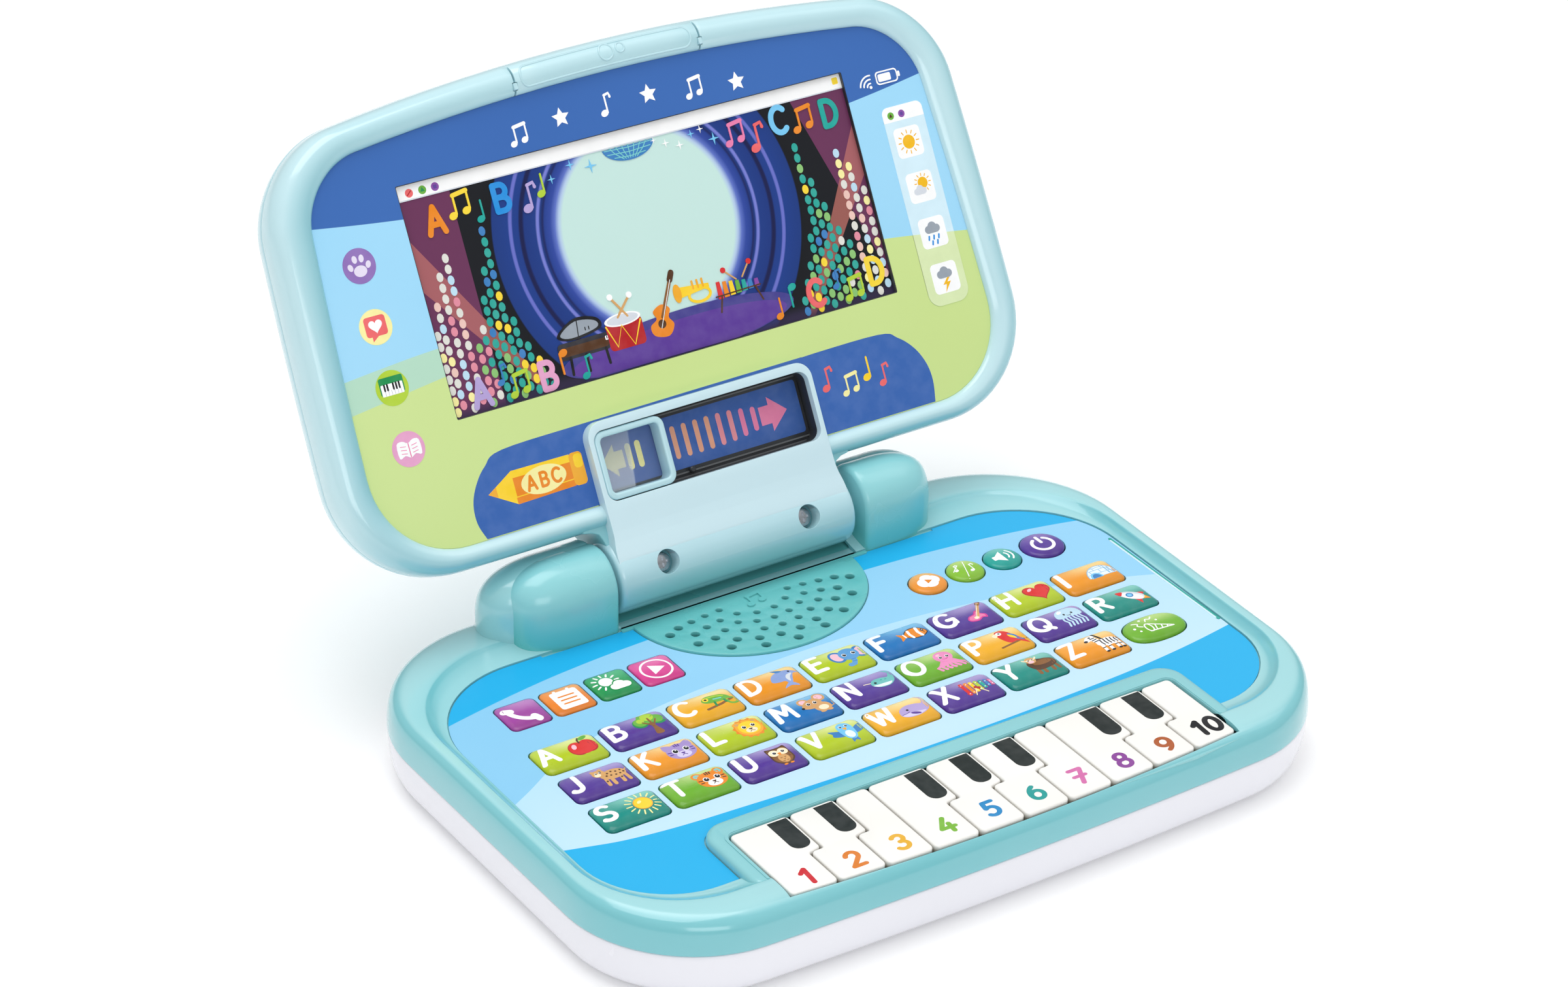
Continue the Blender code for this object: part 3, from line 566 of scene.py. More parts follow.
MATS["teal_lip"] = TEAL

# ===================================================================== base
BASE_OUT = (129.0, 132.0, -162.5, -166.5, 17.0, 17.0, 40.0, 48.0, 0.0)
BASE_IN = (119.5, 121.0, -143.4, -143.4, -11.0, -11.0, 29.0, 36.0, 0.3)
PART_Z = -8.0
PIANO_X, PITCH = 2.0, 16.0
PB, PF, PBOW = -126.5, -162.9, 3.0
JOG_Y, JOG = -144.9, 4.5
SHARP = (1, 2, 4, 5, 6, 8, 9)
KEY_W, KEY_D, GAP = 21.4, 13.6, 0.4
GA, GB, GY = 41.0, 36.0, -12.8


def bring(s, z):
    return at(outline(mixt(BASE_OUT, BASE_IN, s)), z)


def piano_front(x):
    return PF + PBOW * ((x - PIANO_X) / 80.0) ** 2


crown = smooth([(0, PART_Z), (0.004, -6.2), (0.015, -4.2), (0.05, -1.0), (0.12, 1.2), (0.23, 2.4), (0.36, 2.98),
                (0.50, 3.12), (0.60, 3.1), (0.655, 2.9), (0.69, 2.5), (0.74, 1.95), (0.84, 1.15), (0.93, 0.7), (1.0, 0.45)], 4)
under = [(1.0, -2.6), (0.86, -2.6), (0.84, 0.2), (0.65, 1.3), (0.4, 1.1), (0.24, -0.6), (0.17, -3.5), (0.15, PART_Z)]
# bezel colour with painted shade: lighter on up-facing tops, darker on the sloping and side faces, read from the
# surface normal
t = Tree("bezel_teal_painted_shade")
gn = t.add("ShaderNodeNewGeometry")
sn = t.add("ShaderNodeSeparateXYZ")
t.link(gn.outputs["Normal"], sn.inputs[0])
c = t.mix(t.rng(sn.outputs[2], 0.88, 0.992, 0, 1, True), hx("#73C1C9"), hx("#9CD6DB"))
c = t.mix(t.rng(t.noise(14, 3), 0.3, 0.7, 0, 0.05), c, (1, 1, 1))
t.link(c, t.b.inputs["Base Color"])
t.b.inputs["Coat Weight"].default_value = 0.7
t.b.inputs["Coat Roughness"].default_value = 0.08
t.surface(0.22, 0.06, 0.02)
BEZ = t.m
bezel = loft("base_top_moulding", [bring(s, z) for s, z in crown + under], BASE, [BEZ], loop=True)
bx = [PIANO_X + 80.6 * (1 - 2 * i / 24) for i in range(25)]
opening = ([(PIANO_X - 80.6, PB - 2.4)] + arc(PIANO_X - 77.6, PB - 2.4, 3.0, 3.0, 180, 90, 5)
           + arc(PIANO_X + 77.6, PB - 2.4, 3.0, 3.0, 90, 0, 5) + [(x, piano_front(x) - 0.6) for x in bx])


def opening_tool():
    return loft("tool", [at(opening, -6.5), at(opening, 12)], BASE, [])


boolean(bezel, opening_tool())
boolean(bezel, tool_box(-44.2, 44.2, GY, 30, -0.6, 45, BASE))
bevel(bezel, 0.35, 3, 50)
bezel_z = height_of(bezel)
ride(bezel, "base", "base_top_shell")


def key_centres():
    names = [chr(97 + i) for i in range(26)] + ["party"]
    return [(nm, -93.6 + 24.0 * (i % 9), (-63.2, -80.6, -98.0)[i // 9]) for i, nm in enumerate(names)]


def party(cx, cy, w, d, n=40):
    out = []
    for i in range(n):
        a = 2 * math.pi * (i + 0.5) / n
        c, s = math.cos(a), math.sin(a)
        out.append((cx + w / 2 * math.copysign(abs(c) ** 0.8, c), cy + d / 2 * math.copysign(abs(s) ** 0.8, s)))
    return out


APPS = (("phone", -94.6), ("notes", -78.9), ("weather", -63.0), ("play", -47.4))
APP_Y, APP_S = -37.2, 13.7
ROUNDS = (("button_song", 52.8, 6.2), ("button_music", 67.4, 6.2), ("button_volume", 81.9, 6.2),
          ("button_power", 97.8, 7.3))
ROUND_Y = -39.2


def grille_outline(a, b, n=40):
    return [(a * math.cos(math.pi + math.pi * i / n), GY + b * math.sin(math.pi + math.pi * i / n))
            for i in range(n + 1)]


holes = []
for nm, cx, cy in key_centres():
    if nm == "party":
        holes.append(party(cx, cy, KEY_W + 2 * GAP, KEY_D + 2 * GAP))
    else:
        holes.append(rrect(cx, cy, KEY_W + 2 * GAP, KEY_D + 2 * GAP, 2.4, 5))
for nm, cx in APPS:
    holes.append(rrect(cx, APP_Y, APP_S + 2 * GAP, APP_S + 2 * GAP, 2.2, 5))
for nm, cx, r in ROUNDS:
    holes.append(ell(cx, ROUND_Y, r + GAP, n=36))

deck = plate("base_deck", outline(mixt(BASE_OUT, BASE_IN, 0.95)), holes + [grille_outline(GA - 1.5, GB - 1.5)],
             -2.4, -0.5, BASE, [TEAL])
boolean(deck, opening_tool())
boolean(deck, tool_box(-44.2, 44.2, GY, 30, -0.6, 45, BASE))
ride(deck, "base")

# printed film: three blue bands, drawn by position
SW = 86.0
t = Tree("key_film")
X, Y, Z = t.xyz()
U = 0.001
mid = t.curve(X, [(-125 * U, -33 * U), (-110 * U, -29.5 * U), (-90 * U, -25.6 * U), (-70 * U, -22.8 * U),
                  (-41 * U, -20.8 * U), (0, -20 * U), (40 * U, -21.3 * U), (70 * U, -23.6 * U), (100 * U, -28 * U),
                  (125 * U, -34 * U)], -0.125, 0.125, -0.15, 0.0)
lt = t.curve(X, [(-125 * U, -80 * U), (-116 * U, -75 * U), (-90 * U, -61 * U), (-60 * U, -55 * U),
                 (-20 * U, -51.8 * U), (0, -51.3 * U), (30 * U, -52.4 * U), (60 * U, -56 * U), (90 * U, -62 * U),
                 (125 * U, -75 * U)], -0.125, 0.125, -0.15, 0.0)
lb = t.curve(X, [(-125 * U, -103 * U), (-115 * U, -106 * U), (-100 * U, -109.8 * U), (-60 * U, -113.3 * U),
                 (0, -115.2 * U), (50 * U, -114.8 * U), (90 * U, -112.6 * U), (125 * U, -107.5 * U)],
             -0.125, 0.125, -0.15, 0.0)
fuzz = t.rng(t.noise(9, 2), 0.3, 0.7, 0, 1)
outer_c = t.mix(fuzz, hx("#1BAEE7"), hx("#25B4EA"))
mid_c = t.mix(t.rng(X, -0.12, 0.0, 1, 0, True), hx("#96D1F3"), hx("#8CCBEF"))
light_c = t.mix(t.rng(Y, -0.112, -0.055, 0, 1), hx("#C4E5FB"), hx("#B5DFF8"))
e = 0.00006
c = t.mix(t.rng(t.math("SUBTRACT", Y, mid), -e, e, 0, 1), mid_c, outer_c)
c = t.mix(t.rng(t.math("SUBTRACT", Y, lt), -e, e, 1, 0), c, light_c)
c = t.mix(t.rng(t.math("SUBTRACT", Y, lb), -e, e, 1, 0), c, outer_c)
t.link(c, t.b.inputs["Base Color"])
t.b.inputs["Specular IOR Level"].default_value = 0.3
t.b.inputs["Coat Weight"].default_value = 0.1
t.b.inputs["Coat Roughness"].default_value = 0.12
t.surface(0.34, 0.05, 0.01)
FILM = t.m

film = plate("key_panel_film", outline(BASE_IN, 0.35), holes + [grille_outline(GA + 0.3, GB + 0.3)], -0.2, 0.0,
             BASE, [FILM])
boolean(film, loft("tool", [at(rrect(PIANO_X, -136.7, 2 * SW + 0.7, 37.3, 8.3, 8), z) for z in (-2, 2)], BASE, []))
boolean(film, tool_box(-73.4, 73.4, -12.4, 0, -2, 2, BASE))
ride(film, "base", "keypad_overlay")


# speaker grille
def grille_holes():
    out = []
    for row, (rad, count, hr) in enumerate(((12.5, 6, 1.15), (17.5, 9, 1.15), (22.5, 11, 1.25), (27.5, 12, 1.45),
                                            (32.0, 9, 1.55))):
        for i in range(count):
            a = math.radians(188 + 164 * (i + 0.5) / count)
            out.append(ell(rad * 1.1 * math.cos(a), GY - 1.2 + rad * 0.96 * math.sin(a), hr, n=18))
    return out


grille = plate("speaker_grille", grille_outline(GA, GB), grille_holes(), -2.1, 0.8, BASE, [GRILLE])
bevel(grille, 0.28, 2, 60)
ride(grille, "base")
note = ([stroke([(-1.6, -21.3), (-1.6, -16.6)], 0.9), stroke([(3.0, -20.5), (3.0, -15.8)], 0.9),
         stroke([(-1.6, -16.9), (3.0, -16.1)], 1.5), ell(-2.5, -21.4, 1.45, 1.1, 20), ell(2.1, -20.6, 1.45, 1.1, 20)])
MATS["teal_ink"] = GRILLE
emb = paint("grille_note", [("teal_ink", p) for p in note], BASE, "base", 0.8, None, 0.55, 0.004, 0.8)

# raised surround of the piano
sur = loft("piano_surround", [at(rrect(PIANO_X, -136.7, 2 * SW - 2 * d, 36.6 - 2 * d, 8 - d, 9), z)
                              for d, z in ((0, -2.2), (0.0, 0.6), (0.15, 1.4), (0.5, 2.0), (1.0, 2.4), (1.7, 2.62),
                                           (2.4, 2.7))], BASE, [TEAL])
boolean(sur, opening_tool())
bevel(sur, 0.4, 3, 55)
ride(sur, "base")
# walls of the piano well, under the moulding's edge
well_out = [(PIANO_X + (x - PIANO_X) * 1.025, -143.5 + (y + 143.5) * 1.1) for x, y in opening]
well = plate("piano_well", well_out, [opening], -6.6, 1.2, BASE, [TEAL])
ride(well, "base")
wfl = plate("piano_well_floor", well_out, [], -7.4, -6.6, BASE, [TEAL])
ride(wfl, "base")
# thin lip round the opening, seen at the back and the sides
lip_path = [(PIANO_X - 81.3, -150.0)] + [(PIANO_X - 81.3, PB - 2.4)] + arc(PIANO_X - 77.6, PB - 2.4, 3.7, 3.7, 180, 90, 6) \
    + arc(PIANO_X + 77.6, PB - 2.4, 3.7, 3.7, 90, 0, 6) + [(PIANO_X + 81.3, -150.0)]
lip_ring = [stroke(lip_path[i:i + 2], 0.9, 3) for i in range(len(lip_path) - 1)]
paint("piano_lip", [("teal_lip", p) for p in lip_ring], BASE, "base", 2.7, None, 0.22, 0.002, 0.5)

# floor under the lid's barrel
floor_ = loft("hinge_trough", [at([(-49, -13.6), (49, -13.6), (49, 15.2), (-49, 15.2)], z) for z in (-2.7, -0.65)],
              BASE, [GRILLE])
ride(floor_, "base")
step = loft("hinge_step", [at(rrect(1.0, -12.6, 92.0, 1.5, 0.5, 3), z) for z in (-1.2, 0.25, 0.5)], BASE, [GRILLE])
ride(step, "base")


# knuckles: D-shaped section, boxy rounded outer end, rounded inner edge
def knuckle_bm(side, cy, r, x_in, x_tan, x_out, foot, drop, power):
    sec = [(cy - r, foot), (cy - r, foot + 4.0)]
    for i in range(33):
        a = math.pi - math.pi * i / 32
        sec.append((cy + r * math.cos(a), AXIS_H - drop + r * math.sin(a)))
    sec += [(cy + r, foot + 4.0), (cy + r, foot)]
    top = AXIS_H - drop + r - foot
    st = [(x_in, 1.6), (x_in + 0.25, 0.9), (x_in + 0.8, 0.35), (x_in + 1.6, 0.0), (x_tan - 5, 0.0), (x_tan, 0.0)]
    n = 18
    for i in range(1, n + 1):
        u = math.sin(math.radians(88.5 * i / n))
        k = (1 - u ** power) ** (1 / power)
        st.append((x_tan + (x_out - x_tan) * u, r * (1 - k)))
    rings = []
    for x, d in st:
        ky, kz = (r - d) / r, (top - d) / top
        rings.append([(side * x, cy + (y - cy) * ky, foot + (z - foot) * kz) for y, z in sec])
    return rings


# knuckle colour with painted shade: darker towards the bottom, lighter towards the top
t = Tree("knuckle_teal_painted_shade")
X, Y, Z = t.xyz()
c = t.mix(t.rng(Z, 0.001, 0.019, 0, 1, True), hx("#5CC4C3"), hx("#8AD0D5"))
c = t.mix(t.rng(t.noise(14, 3), 0.3, 0.7, 0, 0.05), c, (1, 1, 1))
t.link(c, t.b.inputs["Base Color"])
t.b.inputs["Coat Weight"].default_value = 0.35
t.b.inputs["Coat Roughness"].default_value = 0.1
t.surface(0.26, 0.06, 0.02)
KNU = t.m
# lighter copy of the knuckle teal, a painted highlight on the left fairing; the right one keeps the knuckle colour
FAIR_HIGHLIGHT = plastic("fairing_teal_painted_highlight", hx("#98D6DB"), 0.22, 0.7, 0.03, 0.02)
for sg, nm, x_in, x_f, dr in ((-1, "left", 44.9, 85.6, 0.9), (1, "right", 47.6, 78.6, 1.9)):
    k1 = loft("knuckle_" + nm, knuckle_bm(sg, 0.0, 12.0, x_in, 56.5, 78.8 if sg < 0 else 77.0, -3.0, -0.2, 2.7), BASE, [KNU], sharp=50)
    ride(k1, "base")
    k2 = loft("knuckle_fairing_" + nm, knuckle_bm(sg, 5.6, 11.9, x_in + 0.6, 62.0, x_f, -3.2, dr, 2.3), BASE,
              [FAIR_HIGHLIGHT if sg < 0 else KNU], sharp=50)
    ride(k2, "base")


# white tub
tub_prof = smooth([(2.0, PART_Z - 0.5), (0.6, PART_Z - 0.5), (0.25, -9.2), (0.2, -10.5), (0.25, -13), (0.6, -16.5),
                   (1.4, -20), (2.9, -22.8), (5.2, -24.4), (8.2, -25)], 4)
inner = [(9.5, -25), (11, -23.0), (6, -22.4), (3.6, -20), (2.4, -14)]
tub = loft("base_tub", [at(outline(BASE_OUT, d), z) for d, z in tub_prof[:-1] + [(8.2, -25.0)]]
           + [at(outline(BASE_OUT, 11.0), -25.0)], BASE, [TUBW], sharp=40)
BAT_Y = -97.0
boolean(tub, tool_box(-31.3, 31.3, BAT_Y - 18.3, BAT_Y + 18.3, -26, -23.6, BASE))
for fx, fy in ((104, -4), (-104, -4), (104, -136), (-104, -136)):
    foot = loft("foot_%s_%s" % ("right" if fx > 0 else "left", "back" if fy > -50 else "front"),
                [at(ell(fx, fy, r, n=36), z) for r, z in ((6.6, -24.2), (6.6, -24.9), (6.2, -24.99), (5.4, -25.0))],
                BASE, [RUBBER])
    ride(foot, "base")
for i, (sx, sy) in enumerate(((112, -58), (-112, -58), (111, -118), (-111, -118), (84, 0), (-84, 0))):
    boolean(tub, loft("tool", [at(ell(sx, sy, 3.4, n=28), z) for z in (-26, -21)], BASE, []))


def screw(name, cx, cy, z, r, space, body, facing=1):
    """Cross-head screw; facing is +1 when its head points along +z of its space."""
    s = facing
    ob = loft(name, [at(ell(cx, cy, rr, n=32), z + s * h) for rr, h in
                     ((r * 0.55, -2.0), (r * 0.6, -0.3), (r, -0.1), (r, 0.25), (r * 0.92, 0.7), (r * 0.7, 0.98),
                      (r * 0.35, 1.1))], space, [STEEL])
    for w, h in ((r * 1.15, r * 0.26), (r * 0.26, r * 1.15)):
        boolean(ob, loft("tool", [at(rrect(cx, cy, w, h, 0.02, 1), zz) for zz in (z + s * 0.35, z + s * 3)], space, []))
    return ride(ob, body)


for i, (sx, sy) in enumerate(((112, -58), (-112, -58), (111, -118), (-111, -118), (84, 0), (-84, 0))):
    screw("tub_screw_%d" % (i + 1), sx, sy, -21.6, 2.7, BASE, "base", -1)
bevel(tub, 0.3, 2, 55)
ride(tub, "base", "base_bottom_shell")
door = loft("battery_cover", [at(rrect(0, BAT_Y, 62 - 2 * d, 36 - 2 * d, 1.2, 4), z) for d, z in
                              ((0.6, -25.0), (0.15, -24.9), (0, -24.6), (0, -23.7))], BASE, [TUBW])
boolean(door, loft("tool", [at(ell(0, BAT_Y - 12.5, 3.2, n=28), z) for z in (-26, -24.3)], BASE, []))
for k in range(5):
    boolean(door, tool_box(-7, 7, BAT_Y + 7 + 2 * k, BAT_Y + 7.9 + 2 * k, -26, -24.65, BASE))
bevel(door, 0.12, 2, 55)
ride(door, "base", "battery_door")
screw("battery_door_screw", 0, BAT_Y - 12.5, -24.0, 2.4, BASE, "base", -1)
seam = loft("base_seam", [at(outline(BASE_OUT, d), z) for d, z in ((1.1, PART_Z - 0.7), (1.1, PART_Z + 0.3))], BASE,
            [plastic("seam_shade", hx("#4FA7AB"), 0.5, 0, 0.05, 0)])
ride(seam, "base")
# light strip in the slot along the right inner edge
strip = paint("bezel_slot", [("ovalteal", stroke([(119.3, -47.0), (119.3, -104.0)], 1.1, 2)),
                             ("strip", stroke([(118.8, -48.0), (118.8, -103.0)], 0.7, 2))], BASE, "base", 0.0, None, 0.12)

# ===================================================================== lid
LID_OUT = (126.5, 123.0, 15.5, 15.5, 152.5, 163.2, 35.0, 27.0, 1.2)
LID_IN = (115.5, 109.8, 22.8, 22.8, 145.0, 152.9, 28.0, 19.0, 1.0)
LPW = -2.0
PW = 5.8
SCR = (0.8, 97.5, 163.2, 73.6)
WIN = (0.0, 34.2, 79.4, 22.6)


def lring(s, w):
    return at(outline(mixt(LID_OUT, LID_IN, s)), w)


# rim colour with painted shade, read from the surface normal: darker on faces turned right or down towards the hinge,
# and towards the left end
t = Tree("lid_rim_aqua_painted_shade")
ns_ = t.add("ShaderNodeSeparateXYZ")
t.link(t.tc.outputs["Normal"], ns_.inputs[0])
px_, py_, pz_ = t.xyz()
rim_shade_fac = t.math("SUBTRACT", t.math("MULTIPLY", ns_.outputs[0], 0.7),
               t.math("MULTIPLY", ns_.outputs[1], t.rng(py_, 0.03, 0.13, 0.8, 0.1)))
rim_shade_fac = t.math("ADD", rim_shade_fac, t.rng(px_, -0.124, -0.03, 0.3, 0))
c = t.mix(t.rng(rim_shade_fac, -0.1, 0.62, 0, 1), hx("#BFE2E9"), hx("#86C4CF"))
c = t.mix(t.rng(t.noise(14, 3), 0.3, 0.7, 0, 0.04), c, (1, 1, 1))
t.link(c, t.b.inputs["Base Color"])
t.b.inputs["Coat Weight"].default_value = 0.5
t.b.inputs["Coat Roughness"].default_value = 0.08
t.surface(0.2, 0.06, 0.02)
LIDAQ = t.m
lp = smooth([(0, LPW), (0.0, 0.8), (0.03, 3.4), (0.13, 6.0), (0.3, 7.7), (0.5, 8.35), (0.7, 8.2), (0.87, 7.5),
             (0.96, 6.8), (1.0, 6.0)], 4)
lunder = [(1.0, 0.8), (0.86, 0.8), (0.85, 5.0), (0.65, 6.2), (0.4, 6.0), (0.22, 4.2), (0.15, 1.0), (0.15, LPW)]
rim = loft("lid_rim", [lring(s, w) for s, w in lp + lunder], LID, [LIDAQ], loop=True)
rim_w = height_of(rim)
# two slits across the top of the rim
for sg in (-1, 1):
    boolean(rim, tool_box(sg * 33.6 - 0.35, sg * 33.6 + 0.35, 149, 166, 5.2, 20, LID))
    boolean(rim, tool_box(sg * 33.6 - 0.9, sg * 33.6 + 0.9, 153.6, 156.2, 6.4, 20, LID))
bevel(rim, 0.22, 2, 60)
ride(rim, "lid", "lid_front_frame")
for sg, nm in ((-1, "left"), (1, "right")):
    tab = loft("rim_clip_" + nm, [at(rrect(sg * 33.6, 154.9, 1.5 - d, 2.2 - d, 0.3, 3), w)
                                  for d, w in ((0, 4.0), (0, 8.3), (0.3, 8.6))], LID, [AQUA])
    ride(tab, "lid")
MATS["aqua_ink"] = AQUA


def tube(name, path, r, space, body, mat, surf=None, closed=True, z=0.0, n=8):
    """Thin raised ridge along a path laid on a surface."""
    pts = []
    for x, y in path:
        h = surf(x, y) if surf else z
        pts.append(Vector((x, y, (h if h is not None else z))))
    rings = []
    m = len(pts)
    for i, p in enumerate(pts):
        a = pts[(i - 1) % m] if closed else pts[max(i - 1, 0)]
        b = pts[(i + 1) % m] if closed else pts[min(i + 1, m - 1)]
        tdir = (b - a).normalized()
        up = Vector((0, 0, 1))
        side = tdir.cross(up).normalized()
        up = side.cross(tdir).normalized()
        rings.append([tuple(p + side * r * math.cos(2 * math.pi * j / n) + up * r * 0.8 * math.sin(2 * math.pi * j / n))
                      for j in range(n)])
    ob = loft(name, rings, space, [mat], loop=closed, sharp=80)
    return ride(ob, body)


oval = ([(-28.5 + 56.5 * i / 30, 0) for i in range(31)])
top_v = lambda x: 163.2 - 10.7 * (x / 123.0) ** 2
path = [(x, top_v(x) - 2.1) for x, _ in oval] + arc(28.3, top_v(28.3) - 5.3, 2.3, 3.2, 80, -80, 8) \
    + [(x, top_v(x) - 8.6) for x, _ in reversed(oval)] + arc(-28.8, top_v(28.8) - 5.3, 2.3, 3.2, 260, 100, 8)
tube("rim_oval_ridge", path, 0.38, LID, "lid", AQUA, rim_w)
tube("rim_ring_large", ell(0.0, 158.6, 2.5, n=36), 0.36, LID, "lid", AQUA, rim_w)
tube("rim_ring_small", ell(5.2, 159.0, 1.5, n=30), 0.34, LID, "lid", AQUA, rim_w)

# hinge barrel, with rounded ends and two screw pockets
BR = 12.0


def turned(r):
    return [(r * math.cos(math.radians(a)), r * math.sin(math.radians(a))) for a in range(0, 360, 4)]


# barrel colour with painted shade: darker towards its lower side, lighter towards its upper side
t = Tree("barrel_aqua_painted_shade")
X, Y, Z = t.xyz()
c = t.mix(t.rng(Y, -0.0115, 0.004, 0, 1, True), hx("#86C3CB"), hx("#B7DDE6"))
c = t.mix(t.rng(t.noise(14, 3), 0.3, 0.7, 0, 0.05), c, (1, 1, 1))
t.link(c, t.b.inputs["Base Color"])
t.b.inputs["Coat Weight"].default_value = 0.6
t.b.inputs["Coat Roughness"].default_value = 0.08
t.surface(0.22, 0.06, 0.02)
BARR = t.m
# lighter copy of the aqua plastic, painted light for the housing's upward-facing front
HOUS = plastic("housing_aqua_painted_light", hx("#CDE8F0"), 0.2, 0.5, 0.02, 0.02)
barrel = loft("hinge_barrel", [along_x(turned(r), x) for x, r in
                               ((-43.6, 10.2), (-43.5, 10.9), (-43.2, 11.4), (-42.7, 11.75), (-42.0, 11.94), (-41.0, 12.0),
                                (41.0, 12.0), (42.0, 11.94), (42.7, 11.75), (43.2, 11.4), (43.5, 10.9), (43.6, 10.2))],
              LID, [BARR], sharp=40)
for sg in (-1, 1):
    boolean(barrel, loft("tool", [at(ell(sg * 26.3, 0.4, 3.9, n=40), w) for w in (6.6, 16)], LID, []))
bevel(barrel, 0.45, 4, 45)
ride(barrel, "lid")
# slider housing: section drawn across, trimmed to rounded top corners, flaring into the barrel
sec_h = [(2.0, 4.0), (2.0, 11.2), (5.0, 11.12), (7.4, 10.78), (10.5, 10.35), (14.0, 10.05), (20.0, 9.85), (30.0, 9.8),
         (48.6, 9.8), (48.6, 1.4), (14.6, 1.4), (14.6, -8.6), (8.0, -8.6)]
housing = loft("slider_housing", [along_x(sec_h, x) for x in (-44, 44)], LID, [HOUS], sharp=25)
flare = smooth([(-42.6, -14), (-42.6, 4.0), (-42.5, 7.0), (-42.1, 9.5), (-41.6, 12.0), (-41.4, 15.0), (-41.4, 20.0)], 4)
right_side = [(-x, v) for x, v in flare]
trim_o = right_side + arc(41.4 - 5.4, 48.4 - 5.4, 5.4, 5.4, 0, 90, 10) + \
    arc(-41.4 + 5.4, 48.4 - 5.4, 5.4, 5.4, 90, 180, 10) + list(reversed(flare))
boolean(housing, loft("tool", [at(trim_o, w) for w in (-14, 14)], LID, []), "INTERSECT")
for sg in (-1, 1):
    boolean(housing, loft("tool", [at(ell(sg * 26.3, 0.4, 3.9, n=40), w) for w in (3.0, 16)], LID, []))
boolean(housing, loft("tool", [at(rrect(*WIN, 3.6, 8), w) for w in (0.5, 14)], LID, [HOUS]))
bevel(housing, 0.6, 4, 38)
ride(housing, "lid")
lining = plate("slot_lining", rrect(WIN[0], WIN[1], WIN[2] + 0.06, WIN[3] + 0.06, 3.6, 8),
               [rrect(WIN[0], WIN[1], WIN[2] - 0.24, WIN[3] - 0.24, 3.5, 8)], 1.5, 7.2, LID, [DARK])
ride(lining, "lid")
# housing fillets get a darker aqua as painted shade
for sg, nm in ((-1, "left"), (1, "right")):
    fp = [(-49.5, 15.8), (-46.6, 15.35), (-44.4, 14.2), (-43.5, 12.4), (-42.9, 10.2), (-42.6, 8.0), (-40.5, 8.0), (-40.5, 17.5),
          (-49.5, 17.5)]
    fil = loft("housing_fillet_" + nm, [at([(-sg * x, v) for x, v in fp], w) for w in (-11.5, 6.0)], LID, [plastic("fillet_aqua_painted_shade", hx("#8CCAD2"), 0.3, 0.2, 0.02, 0.02)])
    bevel(fil, 0.5, 3, 50)
    ride(fil, "lid")
for sg, nm in ((-1, "left"), (1, "right")):
    screw("hinge_screw_" + nm, sg * 26.3 - 0.3, 0.4, 7.3, 3.1, LID, "lid", 1)
    pocket = loft("screw_pocket_" + nm, [at(ell(sg * 26.3, 0.4, r, n=36), w) for r, w in
                                         ((3.85, 6.0), (3.85, 6.75), (3.2, 6.8))], LID,
                  [plastic("pocket_shade", hx("#5C98A2"), 0.4, 0.1, 0.05, 0)])
    ride(pocket, "lid")

# lid back cover
bp = smooth([(0.6, LPW - 0.4), (0.0, LPW - 0.5), (0.1, -4.6), (0.8, -7.4), (2.4, -9.8), (5.2, -11.3), (9.0, -12.0),
             (14, -12.2)], 4)
back = loft("lid_back_shell", [at(outline(LID_OUT, d), w) for d, w in [(11, LPW - 0.4)] + bp], LID, [AQUA], sharp=40)
for i, (sx, sy) in enumerate(((104, 40), (-104, 40), (102, 128), (-102, 128), (0, 146))):
    boolean(back, loft("tool", [at(ell(sx, sy, 3.2, n=28), w) for w in (-14, -9.2)], LID, []))
bevel(back, 0.25, 2, 60)
ride(back, "lid", "lid_back_cover")
for i, (sx, sy) in enumerate(((104, 40), (-104, 40), (102, 128), (-102, 128), (0, 146))):
    screw("lid_screw_%d" % (i + 1), sx, sy, -9.9, 2.6, LID, "lid", -1)
lseam = loft("lid_seam", [at(outline(LID_OUT, 1.0), w) for w in (LPW - 0.6, LPW + 0.3)], LID,
             [plastic("lid_seam_shade", hx("#79B4BF"), 0.5, 0, 0.05, 0)])
ride(lseam, "lid")

# printed panel: blue band, sky, two hills
t = Tree("lid_print")
X, Y, Z = t.xyz()
bandc = t.curve(X, [(-0.116, 0.1288), (-0.080, 0.1240), (-0.04, 0.1205), (0.0, 0.1195), (0.04, 0.1205),
                    (0.083, 0.1240), (0.116, 0.1283)], -0.118, 0.118, 0.0, 0.2)
hill1 = t.curve(X, [(-0.116, 0.0808), (-0.1, 0.0822), (-0.084, 0.0833), (-0.05, 0.084), (0.0, 0.084), (0.05, 0.0815),
                    (0.083, 0.0785), (0.1, 0.0762), (0.116, 0.0738)], -0.118, 0.118, 0.0, 0.2)
hill2 = t.curve(X, [(-0.116, 0.0704), (-0.1, 0.0723), (-0.084, 0.0742), (-0.05, 0.078), (0.0, 0.0835), (0.05, 0.0815),
                    (0.083, 0.0785), (0.1, 0.0762), (0.116, 0.0738)], -0.118, 0.118, 0.0, 0.2)
f0 = t.rng(t.noise(8, 2), 0.3, 0.7, 0, 1)
sky = t.mix(f0, hx("#9AD7F7"), hx("#A5DCF9"))
grn = t.mix(f0, hx("#CBE08E"), hx("#CFE498"))
c = t.mix(t.rng(t.math("SUBTRACT", Y, bandc), -e, e, 0, 1), sky, t.mix(f0, hx("#3767B1"), hx("#3B6CB6")))
c = t.mix(t.rng(t.math("SUBTRACT", Y, hill1), -e, e, 1, 0), c, hx("#B6DDC6"))
c = t.mix(t.rng(t.math("SUBTRACT", Y, hill2), -e, e, 1, 0), c, grn)
t.link(c, t.b.inputs["Base Color"])
t.b.inputs["Specular IOR Level"].default_value = 0.3
t.b.inputs["Coat Weight"].default_value = 0.08
